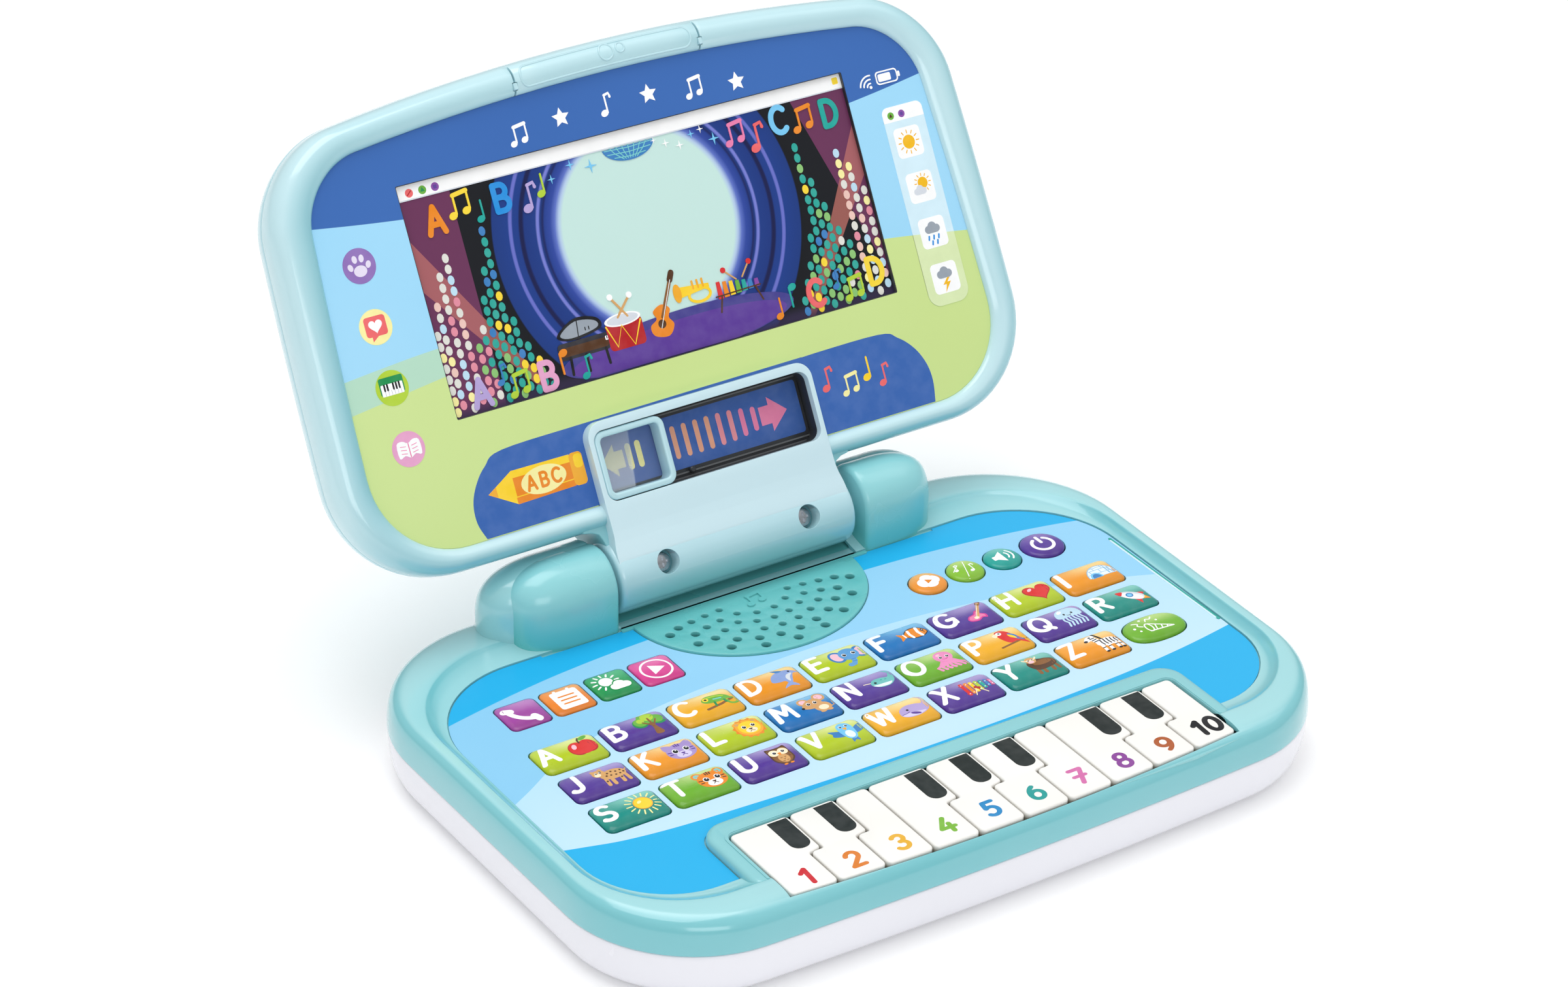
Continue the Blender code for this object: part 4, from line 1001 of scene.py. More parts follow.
t.b.inputs["Coat Roughness"].default_value = 0.12
t.surface(0.34, 0.05, 0.01)
panel = plate("lid_picture_panel", outline(LID_IN, 0.06), [rrect(*SCR, 0.5, 3)], 4.6, PW, LID, [t.m])
boolean(panel, loft("tool", [at(rrect(0, 25.0, 83.6, 47.4, 6.0, 8), w) for w in (3, 8)], LID, []))
ride(panel, "lid", "lid_print_panel")

# screen picture: stage rings and glow, drawn by radius
t = Tree("screen_print")
X, Y, Z = t.xyz()
cx, cy = 0.0013, 0.1028
r = t.math("SQRT", t.math("ADD", t.math("POWER", t.math("SUBTRACT", X, cx), 2.0),
                          t.math("POWER", t.math("SUBTRACT", Y, cy), 2.0)))
ramp = t.add("ShaderNodeValToRGB")
t.link(t.rng(r, 0, 0.06, 0, 1), ramp.inputs[0])
stops = [(0, "#C7E6DF"), (30.4, "#C7E6DF"), (31.6, "#B4CBE8"), (33.0, "#5F74C4"), (34.6, "#30489E"), (36.6, "#223E8E"),
         (37.2, "#141F58"), (38.2, "#183880"), (38.6, "#6F78CC"), (39.3, "#7E84D4"), (39.7, "#1A3A84"),
         (43.6, "#17357E"), (44.2, "#10174A"), (45.2, "#10174A"), (45.7, "#193A86"), (47.6, "#1A3C88"),
         (48.0, "#6A71C6"), (48.8, "#6A71C6"), (49.2, "#1A3C88"), (54.6, "#18387E"), (54.9, "#0C0F15"),
         (60, "#10131A")]
el = ramp.color_ramp.elements
while len(el) > 1:
    el.remove(el[0])
el[0].position, el[0].color = 0.0, (*hx(stops[0][1]), 1)
for p, cc in stops[1:]:
    n_ = el.new(p / 60.0)
    n_.color = (*hx(cc), 1)
col = ramp.outputs[0]
# maroon side curtains beyond slanted lines, both sides
ax = t.math("ABSOLUTE", t.math("SUBTRACT", X, 0.0013))
left_edge = t.math("SUBTRACT", ax, t.rng(Y, 0.060, 0.135, 0.0640, 0.0640))
maroon = t.math("MULTIPLY", t.rng(left_edge, -e, e, 0, 1), t.rng(X, -0.0001, 0.0001, 1, 0))
right_edge = t.math("SUBTRACT", X, t.rng(Y, 0.060, 0.135, 0.0845, 0.0600))
maroon = t.math("ADD", maroon, t.rng(right_edge, -e, e, 0, 1), clamp=True)
col = t.mix(maroon, col, hx("#6A3358"))
# slanted beams of light crossing the sides
def beam(x_bot, x_top, w_bot, w_top, colr, fac):
    global col
    xc = t.rng(Y, 0.060, 0.135, x_bot, x_top)
    hw = t.rng(Y, 0.060, 0.135, w_bot, w_top)
    d_ = t.math("SUBTRACT", t.math("ABSOLUTE", t.math("SUBTRACT", X, xc)), hw)
    # only outside the stage ring
    out = t.rng(r, 0.0548, 0.0552, 0, 1)
    col = t.mix(t.math("MULTIPLY", t.math("MULTIPLY", t.rng(d_, -e, e, 1, 0), out), fac), col, hx(colr))
beam(-0.046, -0.0992, 0.0012, 0.0080, "#C9786E", 0.55)
beam(0.0495, 0.1010, 0.0012, 0.0080, "#C9786E", 0.55)
# floor of the hall: dark violet towards the bottom
fl = t.rng(Y, 0.0605, 0.0660, 0.85, 0.0, True)
col = t.mix(fl, col, hx("#3A2F52"))
t.link(col, t.b.inputs["Base Color"])
t.b.inputs["Specular IOR Level"].default_value = 0.25
t.b.inputs["Coat Weight"].default_value = 0.1
t.b.inputs["Coat Roughness"].default_value = 0.1
t.surface(0.34, 0.05, 0)
SCRM = t.m
screen = plate("screen_picture_sheet", rrect(SCR[0], SCR[1], SCR[2] + 6.4, SCR[3] + 6.4, 2, 4), [], 3.35, 4.3, LID, [SCRM])
ride(screen, "lid", "screen_picture")
edge_wall = plate("screen_edge", rrect(SCR[0], SCR[1], SCR[2] + 0.7, SCR[3] + 0.7, 0.6, 3),
                  [rrect(SCR[0], SCR[1], SCR[2] - 0.5, SCR[3] - 0.5, 0.4, 3)], 4.2, PW - 0.15, LID, [DARK])
ride(edge_wall, "lid")

# ============================================================ glyphs, notes
def ring_strokes(cx, cy, rx, ry):
    return [arc(cx, cy, rx, ry, 0, 190, 18), arc(cx, cy, rx, ry, 180, 370, 18)]


def glyph_lines(ch):
    A = arc
    G = {
        "A": (0.74, [[(0.04, 0), (0.37, 1)], [(0.37, 1), (0.70, 0)], [(0.16, 0.33), (0.58, 0.33)]]),
        "B": (0.66, [[(0.08, 0), (0.08, 1)], [(0.08, 1), (0.34, 1)] + A(0.34, 0.76, 0.235, 0.24, 90, -90) + [(0.08, 0.52)],
                     [(0.08, 0.52), (0.36, 0.52)] + A(0.36, 0.26, 0.27, 0.26, 90, -90) + [(0.08, 0)]]),
        "C": (0.74, [A(0.42, 0.5, 0.37, 0.5, 48, 312, 26)]),
        "D": (0.74, [[(0.08, 0), (0.08, 1)], [(0.08, 1), (0.26, 1)] + A(0.26, 0.5, 0.42, 0.5, 90, -90, 20) + [(0.08, 0)]]),
        "E": (0.62, [[(0.08, 0), (0.08, 1)], [(0.08, 1), (0.58, 1)], [(0.08, 0.52), (0.52, 0.52)], [(0.08, 0), (0.58, 0)]]),
        "F": (0.6, [[(0.08, 0), (0.08, 1)], [(0.08, 1), (0.57, 1)], [(0.08, 0.52), (0.5, 0.52)]]),
        "G": (0.82, [A(0.43, 0.5, 0.38, 0.5, 50, 330, 28), [(0.79, 0.16), (0.79, 0.46)], [(0.79, 0.46), (0.5, 0.46)]]),
        "H": (0.74, [[(0.08, 0), (0.08, 1)], [(0.66, 0), (0.66, 1)], [(0.08, 0.5), (0.66, 0.5)]]),
        "I": (0.2, [[(0.1, 0), (0.1, 1)]]),
        "J": (0.56, [[(0.48, 1), (0.48, 0.27)] + A(0.26, 0.24, 0.22, 0.24, 0, -150)]),
        "K": (0.66, [[(0.08, 0), (0.08, 1)], [(0.6, 1), (0.1, 0.42)], [(0.24, 0.58), (0.64, 0)]]),
        "L": (0.58, [[(0.08, 0), (0.08, 1)], [(0.08, 0), (0.55, 0)]]),
        "M": (0.88, [[(0.06, 0), (0.13, 1)], [(0.13, 1), (0.44, 0.3)], [(0.44, 0.3), (0.75, 1)], [(0.75, 1), (0.82, 0)]]),
        "N": (0.72, [[(0.08, 0), (0.08, 1)], [(0.08, 1), (0.64, 0)], [(0.64, 0), (0.64, 1)]]),
        "O": (0.84, ring_strokes(0.42, 0.5, 0.38, 0.5)),
        "P": (0.64, [[(0.08, 0), (0.08, 1)], [(0.08, 1), (0.33, 1)] + A(0.33, 0.73, 0.26, 0.27, 90, -90) + [(0.08, 0.46)]]),
        "Q": (0.86, ring_strokes(0.42, 0.5, 0.38, 0.5) + [[(0.52, 0.24), (0.82, -0.04)]]),
        "R": (0.66, [[(0.08, 0), (0.08, 1)], [(0.08, 1), (0.33, 1)] + A(0.33, 0.73, 0.26, 0.27, 90, -90) + [(0.08, 0.46)],
                     [(0.32, 0.46), (0.62, 0)]]),
        "S": (0.66, [A(0.34, 0.75, 0.26, 0.25, 35, 270, 16) + A(0.34, 0.26, 0.28, 0.24, 90, -145, 16)[1:]]),
        "T": (0.68, [[(0.03, 1), (0.65, 1)], [(0.34, 1), (0.34, 0)]]),
        "U": (0.72, [[(0.08, 1), (0.08, 0.3)] + A(0.36, 0.3, 0.28, 0.3, 180, 360, 16) + [(0.64, 1)]]),
        "V": (0.7, [[(0.04, 1), (0.35, 0)], [(0.35, 0), (0.66, 1)]]),
        "W": (0.94, [[(0.03, 1), (0.24, 0)], [(0.24, 0), (0.47, 0.8)], [(0.47, 0.8), (0.70, 0)], [(0.70, 0), (0.91, 1)]]),
        "X": (0.68, [[(0.05, 0), (0.63, 1)], [(0.05, 1), (0.63, 0)]]),
        "Y": (0.68, [[(0.04, 1), (0.34, 0.48)], [(0.64, 1), (0.34, 0.48)], [(0.34, 0.48), (0.34, 0)]]),
        "Z": (0.66, [[(0.06, 1), (0.6, 1)], [(0.6, 1), (0.06, 0)], [(0.06, 0), (0.62, 0)]]),
        "1": (0.46, [[(0.06, 0.76), (0.3, 1)], [(0.3, 1), (0.3, 0)]]),
        "2": (0.62, [A(0.31, 0.71, 0.26, 0.29, 165, -35, 14) + [(0.07, 0)], [(0.07, 0), (0.6, 0)]]),
        "3": (0.6, [A(0.29, 0.75, 0.24, 0.25, 150, -85, 14), A(0.29, 0.26, 0.27, 0.26, 88, -150, 14)]),
        "4": (0.68, [[(0.42, 1), (0.05, 0.3)], [(0.05, 0.3), (0.66, 0.3)], [(0.48, 0.56), (0.48, 0)]]),
        "5": (0.6, [[(0.55, 1), (0.14, 1)], [(0.14, 1), (0.1, 0.58)], A(0.28, 0.32, 0.28, 0.31, 128, -140, 16)]),
        "6": (0.64, ring_strokes(0.33, 0.3, 0.27, 0.3) + [A(0.62, 0.36, 0.57, 0.64, 118, 184, 10)]),
        "7": (0.6, [[(0.05, 1), (0.57, 1)], [(0.57, 1), (0.24, 0)]]),
        "8": (0.64, ring_strokes(0.32, 0.76, 0.22, 0.24) + ring_strokes(0.32, 0.27, 0.27, 0.27)),
        "9": (0.64, ring_strokes(0.32, 0.7, 0.27, 0.3) + [A(0.03, 0.64, 0.57, 0.64, -62, 4, 10)]),
        "0": (0.7, ring_strokes(0.35, 0.5, 0.29, 0.5)),
    }
    return G[ch]


def glyph(ch, cx, cy, h, w, col, slant=0.0):
    """Round-ended strokes for one letter or digit, centred on (cx, cy)."""
    width, lines = glyph_lines(ch)
    hh = h - w
    return [(col, stroke([(cx + (x - width / 2) * hh + slant * (y - 0.5) * hh, cy + (y - 0.5) * hh) for x, y in l], w))
            for l in lines]


def q_note(x, y, s, col, flag=False, up=True):
    """Quarter or eighth note, head at (x, y), s mm tall."""
    d = 1 if up else -1
    out = [(col, ell(x, y, 0.21 * s, 0.16 * s, 20, 18)),
           (col, stroke([(x + 0.17 * s * d, y), (x + 0.17 * s * d, y + d * 0.86 * s)], 0.09 * s, 3))]
    if flag:
        out.append((col, stroke([(x + 0.17 * s, y + 0.84 * s), (x + 0.42 * s, y + 0.9 * s), (x + 0.46 * s, y + 0.72 * s)],
                                0.13 * s, 3)))
    return out


def beam_note(x, y, s, col):
    return [(col, ell(x - 0.3 * s, y - 0.05 * s, 0.19 * s, 0.15 * s, 20, 18)),
            (col, ell(x + 0.32 * s, y + 0.04 * s, 0.19 * s, 0.15 * s, 20, 18)),
            (col, stroke([(x - 0.14 * s, y), (x - 0.14 * s, y + 0.75 * s)], 0.09 * s, 3)),
            (col, stroke([(x + 0.48 * s, y + 0.1 * s), (x + 0.48 * s, y + 0.84 * s)], 0.09 * s, 3)),
            (col, stroke([(x - 0.14 * s, y + 0.74 * s), (x + 0.48 * s, y + 0.83 * s)], 0.18 * s, 3))]


def star(cx, cy, r, q=0.22, n=4, rot=90):
    out = []
    for i in range(2 * n):
        a = math.radians(rot + 180 * i / n)
        rr = r if i % 2 == 0 else r * q
        out.append((cx + rr * math.cos(a), cy + rr * math.sin(a)))
    return out


def rays(cx, cy, r0, r1, n, w, col):
    return [(col, stroke([(cx + r0 * math.cos(2 * math.pi * i / n), cy + r0 * math.sin(2 * math.pi * i / n)),
                          (cx + r1 * math.cos(2 * math.pi * i / n), cy + r1 * math.sin(2 * math.pi * i / n))], w, 2))
            for i in range(n)]


def heart(cx, cy, s):
    pts = []
    for i in range(40):
        a = 2 * math.pi * i / 40
        pts.append((cx + s * math.sin(a) ** 3, cy + s * (0.81 * math.cos(a) - 0.31 * math.cos(2 * a)
                                                        - 0.125 * math.cos(3 * a) - 0.06 * math.cos(4 * a))))
    return pts


def cloud(cx, cy, s, col):
    return [(col, ell(cx - 0.55 * s, cy - 0.1 * s, 0.42 * s)), (col, ell(cx, cy + 0.16 * s, 0.55 * s)),
            (col, ell(cx + 0.55 * s, cy - 0.08 * s, 0.42 * s)),
            (col, rrect(cx, cy - 0.3 * s, 1.5 * s, 0.46 * s, 0.2 * s, 4))]


def eyes(x0, x1, y, r=0.55):
    out = []
    for x in (x0, x1):
        out += [("white", ell(x, y, r * 1.25, r * 1.4, n=16)), ("black", ell(x + 0.05, y - 0.05, r, r * 1.1, n=16)),
                ("white", ell(x + r * 0.3, y + r * 0.4, r * 0.3, n=8))]
    return out


def pic(ch):
    """Small generic picture for a letter key, about 10 mm across, centred on its own origin."""
    E, S = ell, stroke
    if ch == "a":
        return [("crimson", E(-1.5, -0.4, 2.7, 3.2)), ("crimson", E(1.7, -0.3, 2.7, 3.1)), ("red", E(-1.5, -0.2, 2.4, 2.9)),
                ("red", E(1.7, -0.1, 2.4, 2.8)), ("red", E(0.1, -0.9, 2.6, 2.6)),
                ("darkbrown", S([(0.1, 1.9), (0.2, 3.2), (0.8, 4.2)], 0.55)), ("leaf", E(2.1, 3.9, 1.6, 0.8, 25)),
                ("palepink", E(-2.1, 0.7, 0.7, 1.2, -20))]
    if ch == "b":
        return [("brown", blob([(-0.9, -5), (1.5, -5), (0.8, -2), (0.8, 1), (-0.5, 1), (-0.4, -2)])),
                ("forest", E(-2.6, 1.2, 2.3)), ("forest", E(2.7, 1.0, 2.3)), ("leaf", E(0, 2.9, 2.7)),
                ("leaf", E(-2.4, 1.6, 2.0)), ("leaf", E(2.5, 1.5, 2.0)), ("lime", E(0.4, 3.2, 1.9)),
                ("lime", E(-2.2, 2.1, 1.1)), ("brown", S([(0.2, -1.5), (-1.9, 1.2)], 0.5)),
                ("brown", S([(0.2, -1.5), (2.1, 1.3)], 0.5)), ("brown", S([(0.2, -1.5), (0.2, 2.4)], 0.6))]
    if ch == "c":
        return [("brown", S([(-4.8, -2.6), (0, -1.9), (5.2, -0.3)], 0.9)),
                ("leaf", S(arc(3.6, -1.6, 1.5, 1.5, 100, -200, 16), 0.8)),
                ("leaf", blob([(-4.6, 1.6), (-3.0, 3.1), (-0.4, 3.0), (2.3, 2.2), (3.8, 0.3), (1.6, -0.6), (-1.6, -0.4),
                               (-3.8, 0.2)])),
                ("forest", S([(-1.4, -0.3), (-1.7, -1.9)], 0.7)), ("forest", S([(1.6, -0.4), (1.7, -1.6)], 0.7)),
                ("lime", S([(-2.2, 2.5), (0.2, 2.3), (2.2, 1.5)], 0.5)), ("aqua", S([(-1, 1.1), (1.2, 0.8)], 0.5)),
                ("yellow", E(-3.2, 1.8, 0.9)), ("black", E(-3.2, 1.8, 0.42))]
    if ch == "d":
        return [("dolphin", blob([(-4.4, -0.6), (-3.4, 1.9), (-0.9, 3.4), (1.9, 3.4), (3.8, 2.3), (5.0, 1.2), (3.4, 1.1),
                                  (2.2, -0.6), (1.0, -2.8), (-0.2, -3.3), (-0.7, -1.6), (-2.4, -1.4)])),
                ("dolphin", blob([(-0.6, -2.8), (-2.6, -4.6), (-0.3, -4.1), (1.9, -5.0), (0.8, -2.9)])),
                ("deepblue", blob([(-0.8, 3.2), (-1.8, 5.0), (1.0, 3.4)])),
                ("palegrey", blob([(3.0, 1.3), (1.6, -0.2), (0.6, -2.2), (0.2, -0.4), (1.2, 1.1)])),
                ("black", E(2.6, 2.3, 0.35))]
    if ch == "e":
        return [("deepblue", E(-3.7, 0.9, 2.4, 3.0, 15)), ("deepblue", E(3.9, 0.9, 2.4, 3.0, -15)),
                ("palepink", E(-3.8, 0.9, 1.6, 2.2, 15)), ("palepink", E(4.0, 0.9, 1.6, 2.2, -15)),
                ("elephant", E(0.1, 0.9, 3.1, 3.0)), ("elephant", S([(0.1, -0.3), (0.0, -2.6), (-0.9, -4.0), (-2.2, -4.1)], 1.6)),
                ("deepblue", S([(-0.6, -1.9), (0.7, -1.9)], 0.25)), ("deepblue", S([(-0.8, -2.9), (0.5, -3.1)], 0.25))] + eyes(-1.4, 1.6, 0.9)
    if ch == "f":
        return [("black", blob([(-3.2, 0), (-1.4, 2.5), (1.6, 2.9), (4.2, 1.0), (4.5, -0.5), (2.2, -2.2), (-1.0, -2.1)])),
                ("orange", blob([(-3.0, 0), (-1.3, 2.2), (1.6, 2.6), (3.9, 0.9), (4.2, -0.4), (2.1, -1.9), (-0.9, -1.8)])),
                ("orange", blob([(-2.7, 0), (-4.9, 1.9), (-4.4, 0), (-4.9, -1.9)])),
                ("white", S([(1.9, 2.3), (1.5, 0.3), (1.9, -1.7)], 0.95)), ("white", S([(-1.0, 2.0), (-1.3, 0.2), (-1.0, -1.6)], 0.85)),
                ("white", S([(-3.1, 0.9), (-3.0, -0.7)], 0.5)), ("black", E(3.1, 0.7, 0.5)), ("white", E(3.2, 0.85, 0.18, n=8))]
    if ch == "g":
        return [("magenta", blob([(-3.9, -3.4), (-1.6, -3.9), (0.2, -3.0), (1.6, -3.4), (1.9, -1.8), (0.6, -0.6), (0.9, 0.8),
                                  (-0.4, 0.9), (-1.6, -0.4), (-3.4, -0.9), (-4.4, -2.2)])),
                ("pink", blob([(-3.5, -3.0), (-1.6, -3.4), (0.2, -2.5), (1.2, -2.8), (1.3, -1.8), (0.1, -0.6), (0.3, 0.3),
                               (-0.3, 0.4), (-1.4, -0.8), (-3.2, -1.2), (-3.9, -2.2)])),
                ("tan", S([(-0.9, -1.9), (2.9, 4.0)], 0.95)), ("brown", S([(2.7, 3.7), (3.6, 5.1)], 1.5)),
                ("cream", E(-1.5, -2.3, 0.8, 0.6)), ("white", S([(-1.9, -2.9), (2.7, 4.1)], 0.14, 2))]
    if ch == "h":
        return [("crimson", heart(0, 0.2, 4.5)), ("red", heart(0.05, 0.35, 4.1)), ("palepink", E(-1.9, 1.9, 0.95, 0.55, 35))]
    if ch == "i":
        dome = ell(0.2, -2.6, 5.2, 5.6, a0=0, a1=180)
        out = [("iglooline", dome), ("igloo", ell(0.2, -2.5, 4.9, 5.2, a0=0, a1=180))]
        for y in (-0.9, 0.9, 2.0):
            w = 4.9 * math.sqrt(max(0, 1 - ((y + 2.5) / 5.2) ** 2))
            out.append(("iglooline", S([(0.2 - w + 0.3, y), (0.2 + w - 0.3, y)], 0.2, 2)))
        for x, y0, y1 in ((-1.3, 0.9, 2.4), (1.6, 0.9, 2.4), (3.0, -0.9, 0.9), (-3.0, -0.9, 0.9), (0.2, -0.9, 0.9), (3.8, -2.5, -0.9)):
            out.append(("iglooline", S([(x, y0), (x, y1)], 0.2, 2)))
        return out + [("skyline", ell(-2.3, -2.9, 2.0, 2.6, a0=0, a1=180)), ("deepblue", ell(-2.3, -2.8, 1.4, 1.9, a0=0, a1=180))]
    if ch in "jy":
        main, dk = ("tan", "darkbrown") if ch == "j" else ("brown", "darkbrown")
        out = [(main, S([(-2.6, -1.0), (-2.8, -3.9)], 1.1)), (main, S([(-1.0, -1.4), (-1.0, -4.0)], 1.1)),
               (main, S([(1.8, -1.0), (1.7, -4.0)], 1.1)), (main, S([(3.3, -0.8), (3.6, -3.8)], 1.1)),
               (main, E(0.4, 0.2, 3.9, 2.2))]
        if ch == "j":
            out += [("tan", S([(4.0, 0.5), (5.2, 1.6), (5.4, 3.0)], 0.6)), ("tan", E(-3.1, 2.1, 1.9, 1.7)),
                    ("tan", E(-4.4, 3.4, 0.6)), ("tan", E(-2.0, 3.6, 0.6)), ("cream", E(-3.6, 1.4, 0.95, 0.7))]
            for i, (x, y) in enumerate(((-1, 1), (0.3, 1.4), (1.5, 0.9), (2.9, 1.0), (-0.4, -0.2), (1.0, -0.5), (2.3, -0.4), (3.5, 0), (-1.7, 0), (1.8, -2.2), (-2.7, -2.3), (-2.4, 2.7))):
                out.append(("darkbrown", E(x, y, 0.32, n=10)))
            return out + eyes(-3.8, -2.6, 2.3, 0.3)
        return out + [("darkbrown", blob([(-4.2, 0.6), (-3.4, 2.4), (-0.6, 2.9), (1.4, 2.2), (4.3, 1.2), (4.4, -1.0), (2.0, -2.3), (-2.4, -2.4)])),
                      ("brown", E(0.6, 0.7, 3.0, 1.2)), ("tan", E(-2.0, 2.9, 1.7, 1.7)),
                      ("cream", S(arc(-2.0, 4.1, 2.2, 1.3, 190, 350, 10), 0.5)), ("palepink", E(-2.2, 2.0, 0.95, 0.6))] + eyes(-2.6, -1.4, 3.1, 0.28)
    if ch in "kt":
        main, dk, inner_ = ("cat", "violet", "palepink") if ch == "k" else ("orange", "darkbrown", "aqua")
        out = [(main, blob([(-4.2, 1.6), (-4.0, 4.4), (-1.6, 3.2)])), (main, blob([(4.2, 1.6), (4.0, 4.4), (1.6, 3.2)]))] if ch == "k" else \
            [(main, E(-3.3, 2.9, 1.6)), (main, E(3.3, 2.9, 1.6)), (inner_, E(-3.3, 2.9, 0.95)), (inner_, E(3.3, 2.9, 0.95))]
        out += [(main, E(0, 0, 4.4, 3.7)), ("white" if ch == "t" else "palelilac", E(0, -1.7, 2.2, 1.5))]
        for s in (-1, 1):
            out += [(dk, S([(s * 3.9, 0.5), (s * 2.9, 0.3)], 0.4, 2)), (dk, S([(s * 3.8, -0.7), (s * 2.9, -0.7)], 0.4, 2)),
                    (dk, S([(s * 0.7, 3.3), (s * 0.6, 2.4)], 0.4, 2))]
        out += [(dk, S([(0, 3.6), (0, 2.4)], 0.4, 2)), (dk, blob([(-0.6, -0.9), (0.6, -0.9), (0, -1.6)])),
                (dk, S([(0, -1.6), (-0.7, -2.2)], 0.22, 2)), (dk, S([(0, -1.6), (0.7, -2.2)], 0.22, 2))]
        return out + eyes(-1.7, 1.7, 0.4, 0.75)
    if ch == "l":
        out = [("orange", star(0, 0, 4.9, 0.86, 14, 90)), ("amber", E(0, 0, 3.9)), ("amber", E(-2.6, 2.6, 1.1)), ("amber", E(2.6, 2.6, 1.1)),
               ("tan", E(-2.6, 2.6, 0.6)), ("tan", E(2.6, 2.6, 0.6)), ("sunyellow", E(0, 0, 3.2, 3.0)), ("cream", E(0, -1.4, 1.7, 1.2)),
               ("darkbrown", blob([(-0.6, -0.6), (0.6, -0.6), (0, -1.3)])), ("darkbrown", S([(-0.7, -2.0), (0, -1.5), (0.7, -2.0)], 0.22, 2))]
        return out + eyes(-1.4, 1.4, 0.6, 0.55)
    if ch == "m":
        out = [("mouse", E(1.2, -1.8, 2.6, 2.2)), ("mouse", S([(3.4, -2.6), (4.8, -2.0), (4.9, -0.2)], 0.45)),
               ("mouse", E(-2.9, 2.5, 1.7)), ("mouse", E(2.4, 2.9, 1.9)), ("palepink", E(-2.9, 2.5, 1.05)), ("palepink", E(2.4, 2.9, 1.25)),
               ("mouse", blob([(-4.4, -0.3), (-2.6, 2.2), (0.4, 2.9), (2.2, 1.4), (1.4, -0.8), (-1.6, -1.6)])),
               ("black", E(-4.3, -0.3, 0.5, n=12)), ("cream", E(1.2, -2.2, 1.5, 1.2)), ("mouse", E(0.2, -3.8, 0.9, 0.5)), ("mouse", E(2.4, -3.8, 0.9, 0.5))]
        return out + eyes(-2.0, 0.1, 0.9, 0.5)
    if ch == "n":
        return [("cream", S([(-2.8, 0.6), (-5.3, 1.0)], 0.3, 2)),
                ("narwhal", blob([(-3.4, -0.4), (-2.2, 1.6), (0.6, 1.8), (2.8, 1.4), (4.0, 3.2), (5.0, 4.4), (4.9, 2.0), (4.0, -0.6), (1.6, -2.4), (-1.6, -2.2)])),
                ("narwhal", blob([(4.2, 3.2), (2.6, 4.9), (4.6, 4.4), (5.9, 5.0), (5.2, 3.0)])),
                ("igloo", blob([(-3.2, -0.8), (-1.4, -0.9), (1.6, -1.0), (2.9, -1.1), (1.4, -2.2), (-1.6, -2.0)])),
                ("teal", S([(0.2, 0.9), (0.6, 0.9)], 0.35, 2)), ("teal", S([(1.5, 0.6), (1.9, 0.6)], 0.35, 2)), ("black", E(-1.9, 0.2, 0.42))]
    if ch == "o":
        out = []
        for i in range(7):
            x = -3.6 + 1.2 * i
            out.append(("octo", S([(x * 0.45, -0.6), (x * 0.9, -2.4), (x * 1.25, -3.6 + 0.2 * abs(x)), (x * 1.25 + 0.7, -4.2)], 0.95)))
        return out + [("octo", E(0.1, 1.7, 2.9, 2.7)), ("palepink", E(-0.9, 2.9, 0.8, 0.5, 30)), ("magenta", S(arc(0.2, 0.9, 0.9, 0.6, 200, 340, 8), 0.22, 2))] + eyes(-0.9, 1.3, 1.5, 0.45)
    if ch == "p":
        return [("brown", S([(-4.6, -3.5), (4.6, -2.2)], 0.7)), ("red", blob([(-2.6, 3.8), (-0.4, 4.6), (1.2, 3.0), (2.2, 0.4), (4.2, -4.6), (1.4, -2.4), (-1.0, -2.4), (-2.4, 0.4)])),
                ("deepblue", blob([(0.6, 2.0), (2.1, 1.2), (2.9, -0.8), (3.6, -2.8), (1.4, -1.0)])), ("sunyellow", blob([(0.5, 1.6), (1.7, 0.4), (2.0, -1.2), (0.6, 0.1)])),
                ("white", E(-1.5, 3.1, 0.85)), ("black", E(-1.4, 3.2, 0.35)), ("cream", blob([(-2.4, 3.6), (-3.9, 2.9), (-3.4, 1.7), (-2.4, 2.2)]))]
    if ch == "q":
        out = [("jelly", S([(x * 0.9, 0.5), (x, -1.2), (x + 0.6, -2.4), (x + 0.1, -4.2)], 0.62)) for x in (-3.0, -1.8, -0.6, 0.6, 1.8, 3.0)]
        return out + [("jelly", blob([(-4.2, 0.5), (-3.8, 3.0), (-1.6, 4.6), (1.6, 4.6), (3.8, 3.0), (4.2, 0.5), (2.0, -0.1), (0, 0.4), (-2.0, -0.1)])),
                      ("white", E(-2.0, 3.3, 1.0, 0.6, 35)), ("dark", E(-1.3, 1.7, 0.35, 0.45, n=12)), ("dark", E(1.3, 1.7, 0.35, 0.45, n=12)),
                      ("dark", S(arc(0, 1.3, 0.7, 0.5, 200, 340, 8), 0.2, 2))]
    if ch == "r":
        rot = [("orange", [(-1.1, -3.4), (0, -5.6), (1.1, -3.4)]), ("sunyellow", [(-0.6, -3.4), (0, -4.6), (0.6, -3.4)]),
               ("red", [(-1.6, -0.6), (-3.3, -3.6), (-1.1, -2.9)]), ("red", [(1.6, -0.6), (3.3, -3.6), (1.1, -2.9)]),
               ("palegrey", blob([(0, 4.6), (1.5, 2.4), (1.9, -0.4), (1.2, -3.3), (-1.2, -3.3), (-1.9, -0.4), (-1.5, 2.4)])),
               ("white", blob([(-0.2, 4.0), (0.8, 2.2), (0.9, -0.4), (0.4, -3.0), (-1.1, -3.0), (-1.7, -0.4), (-1.3, 2.2)])),
               ("red", blob([(0, 5.0), (1.1, 3.2), (0, 2.9), (-1.1, 3.2)])), ("deepblue", E(0, 0.7, 1.15)), ("skyline", E(0, 0.7, 0.75))]
        a = math.radians(50)
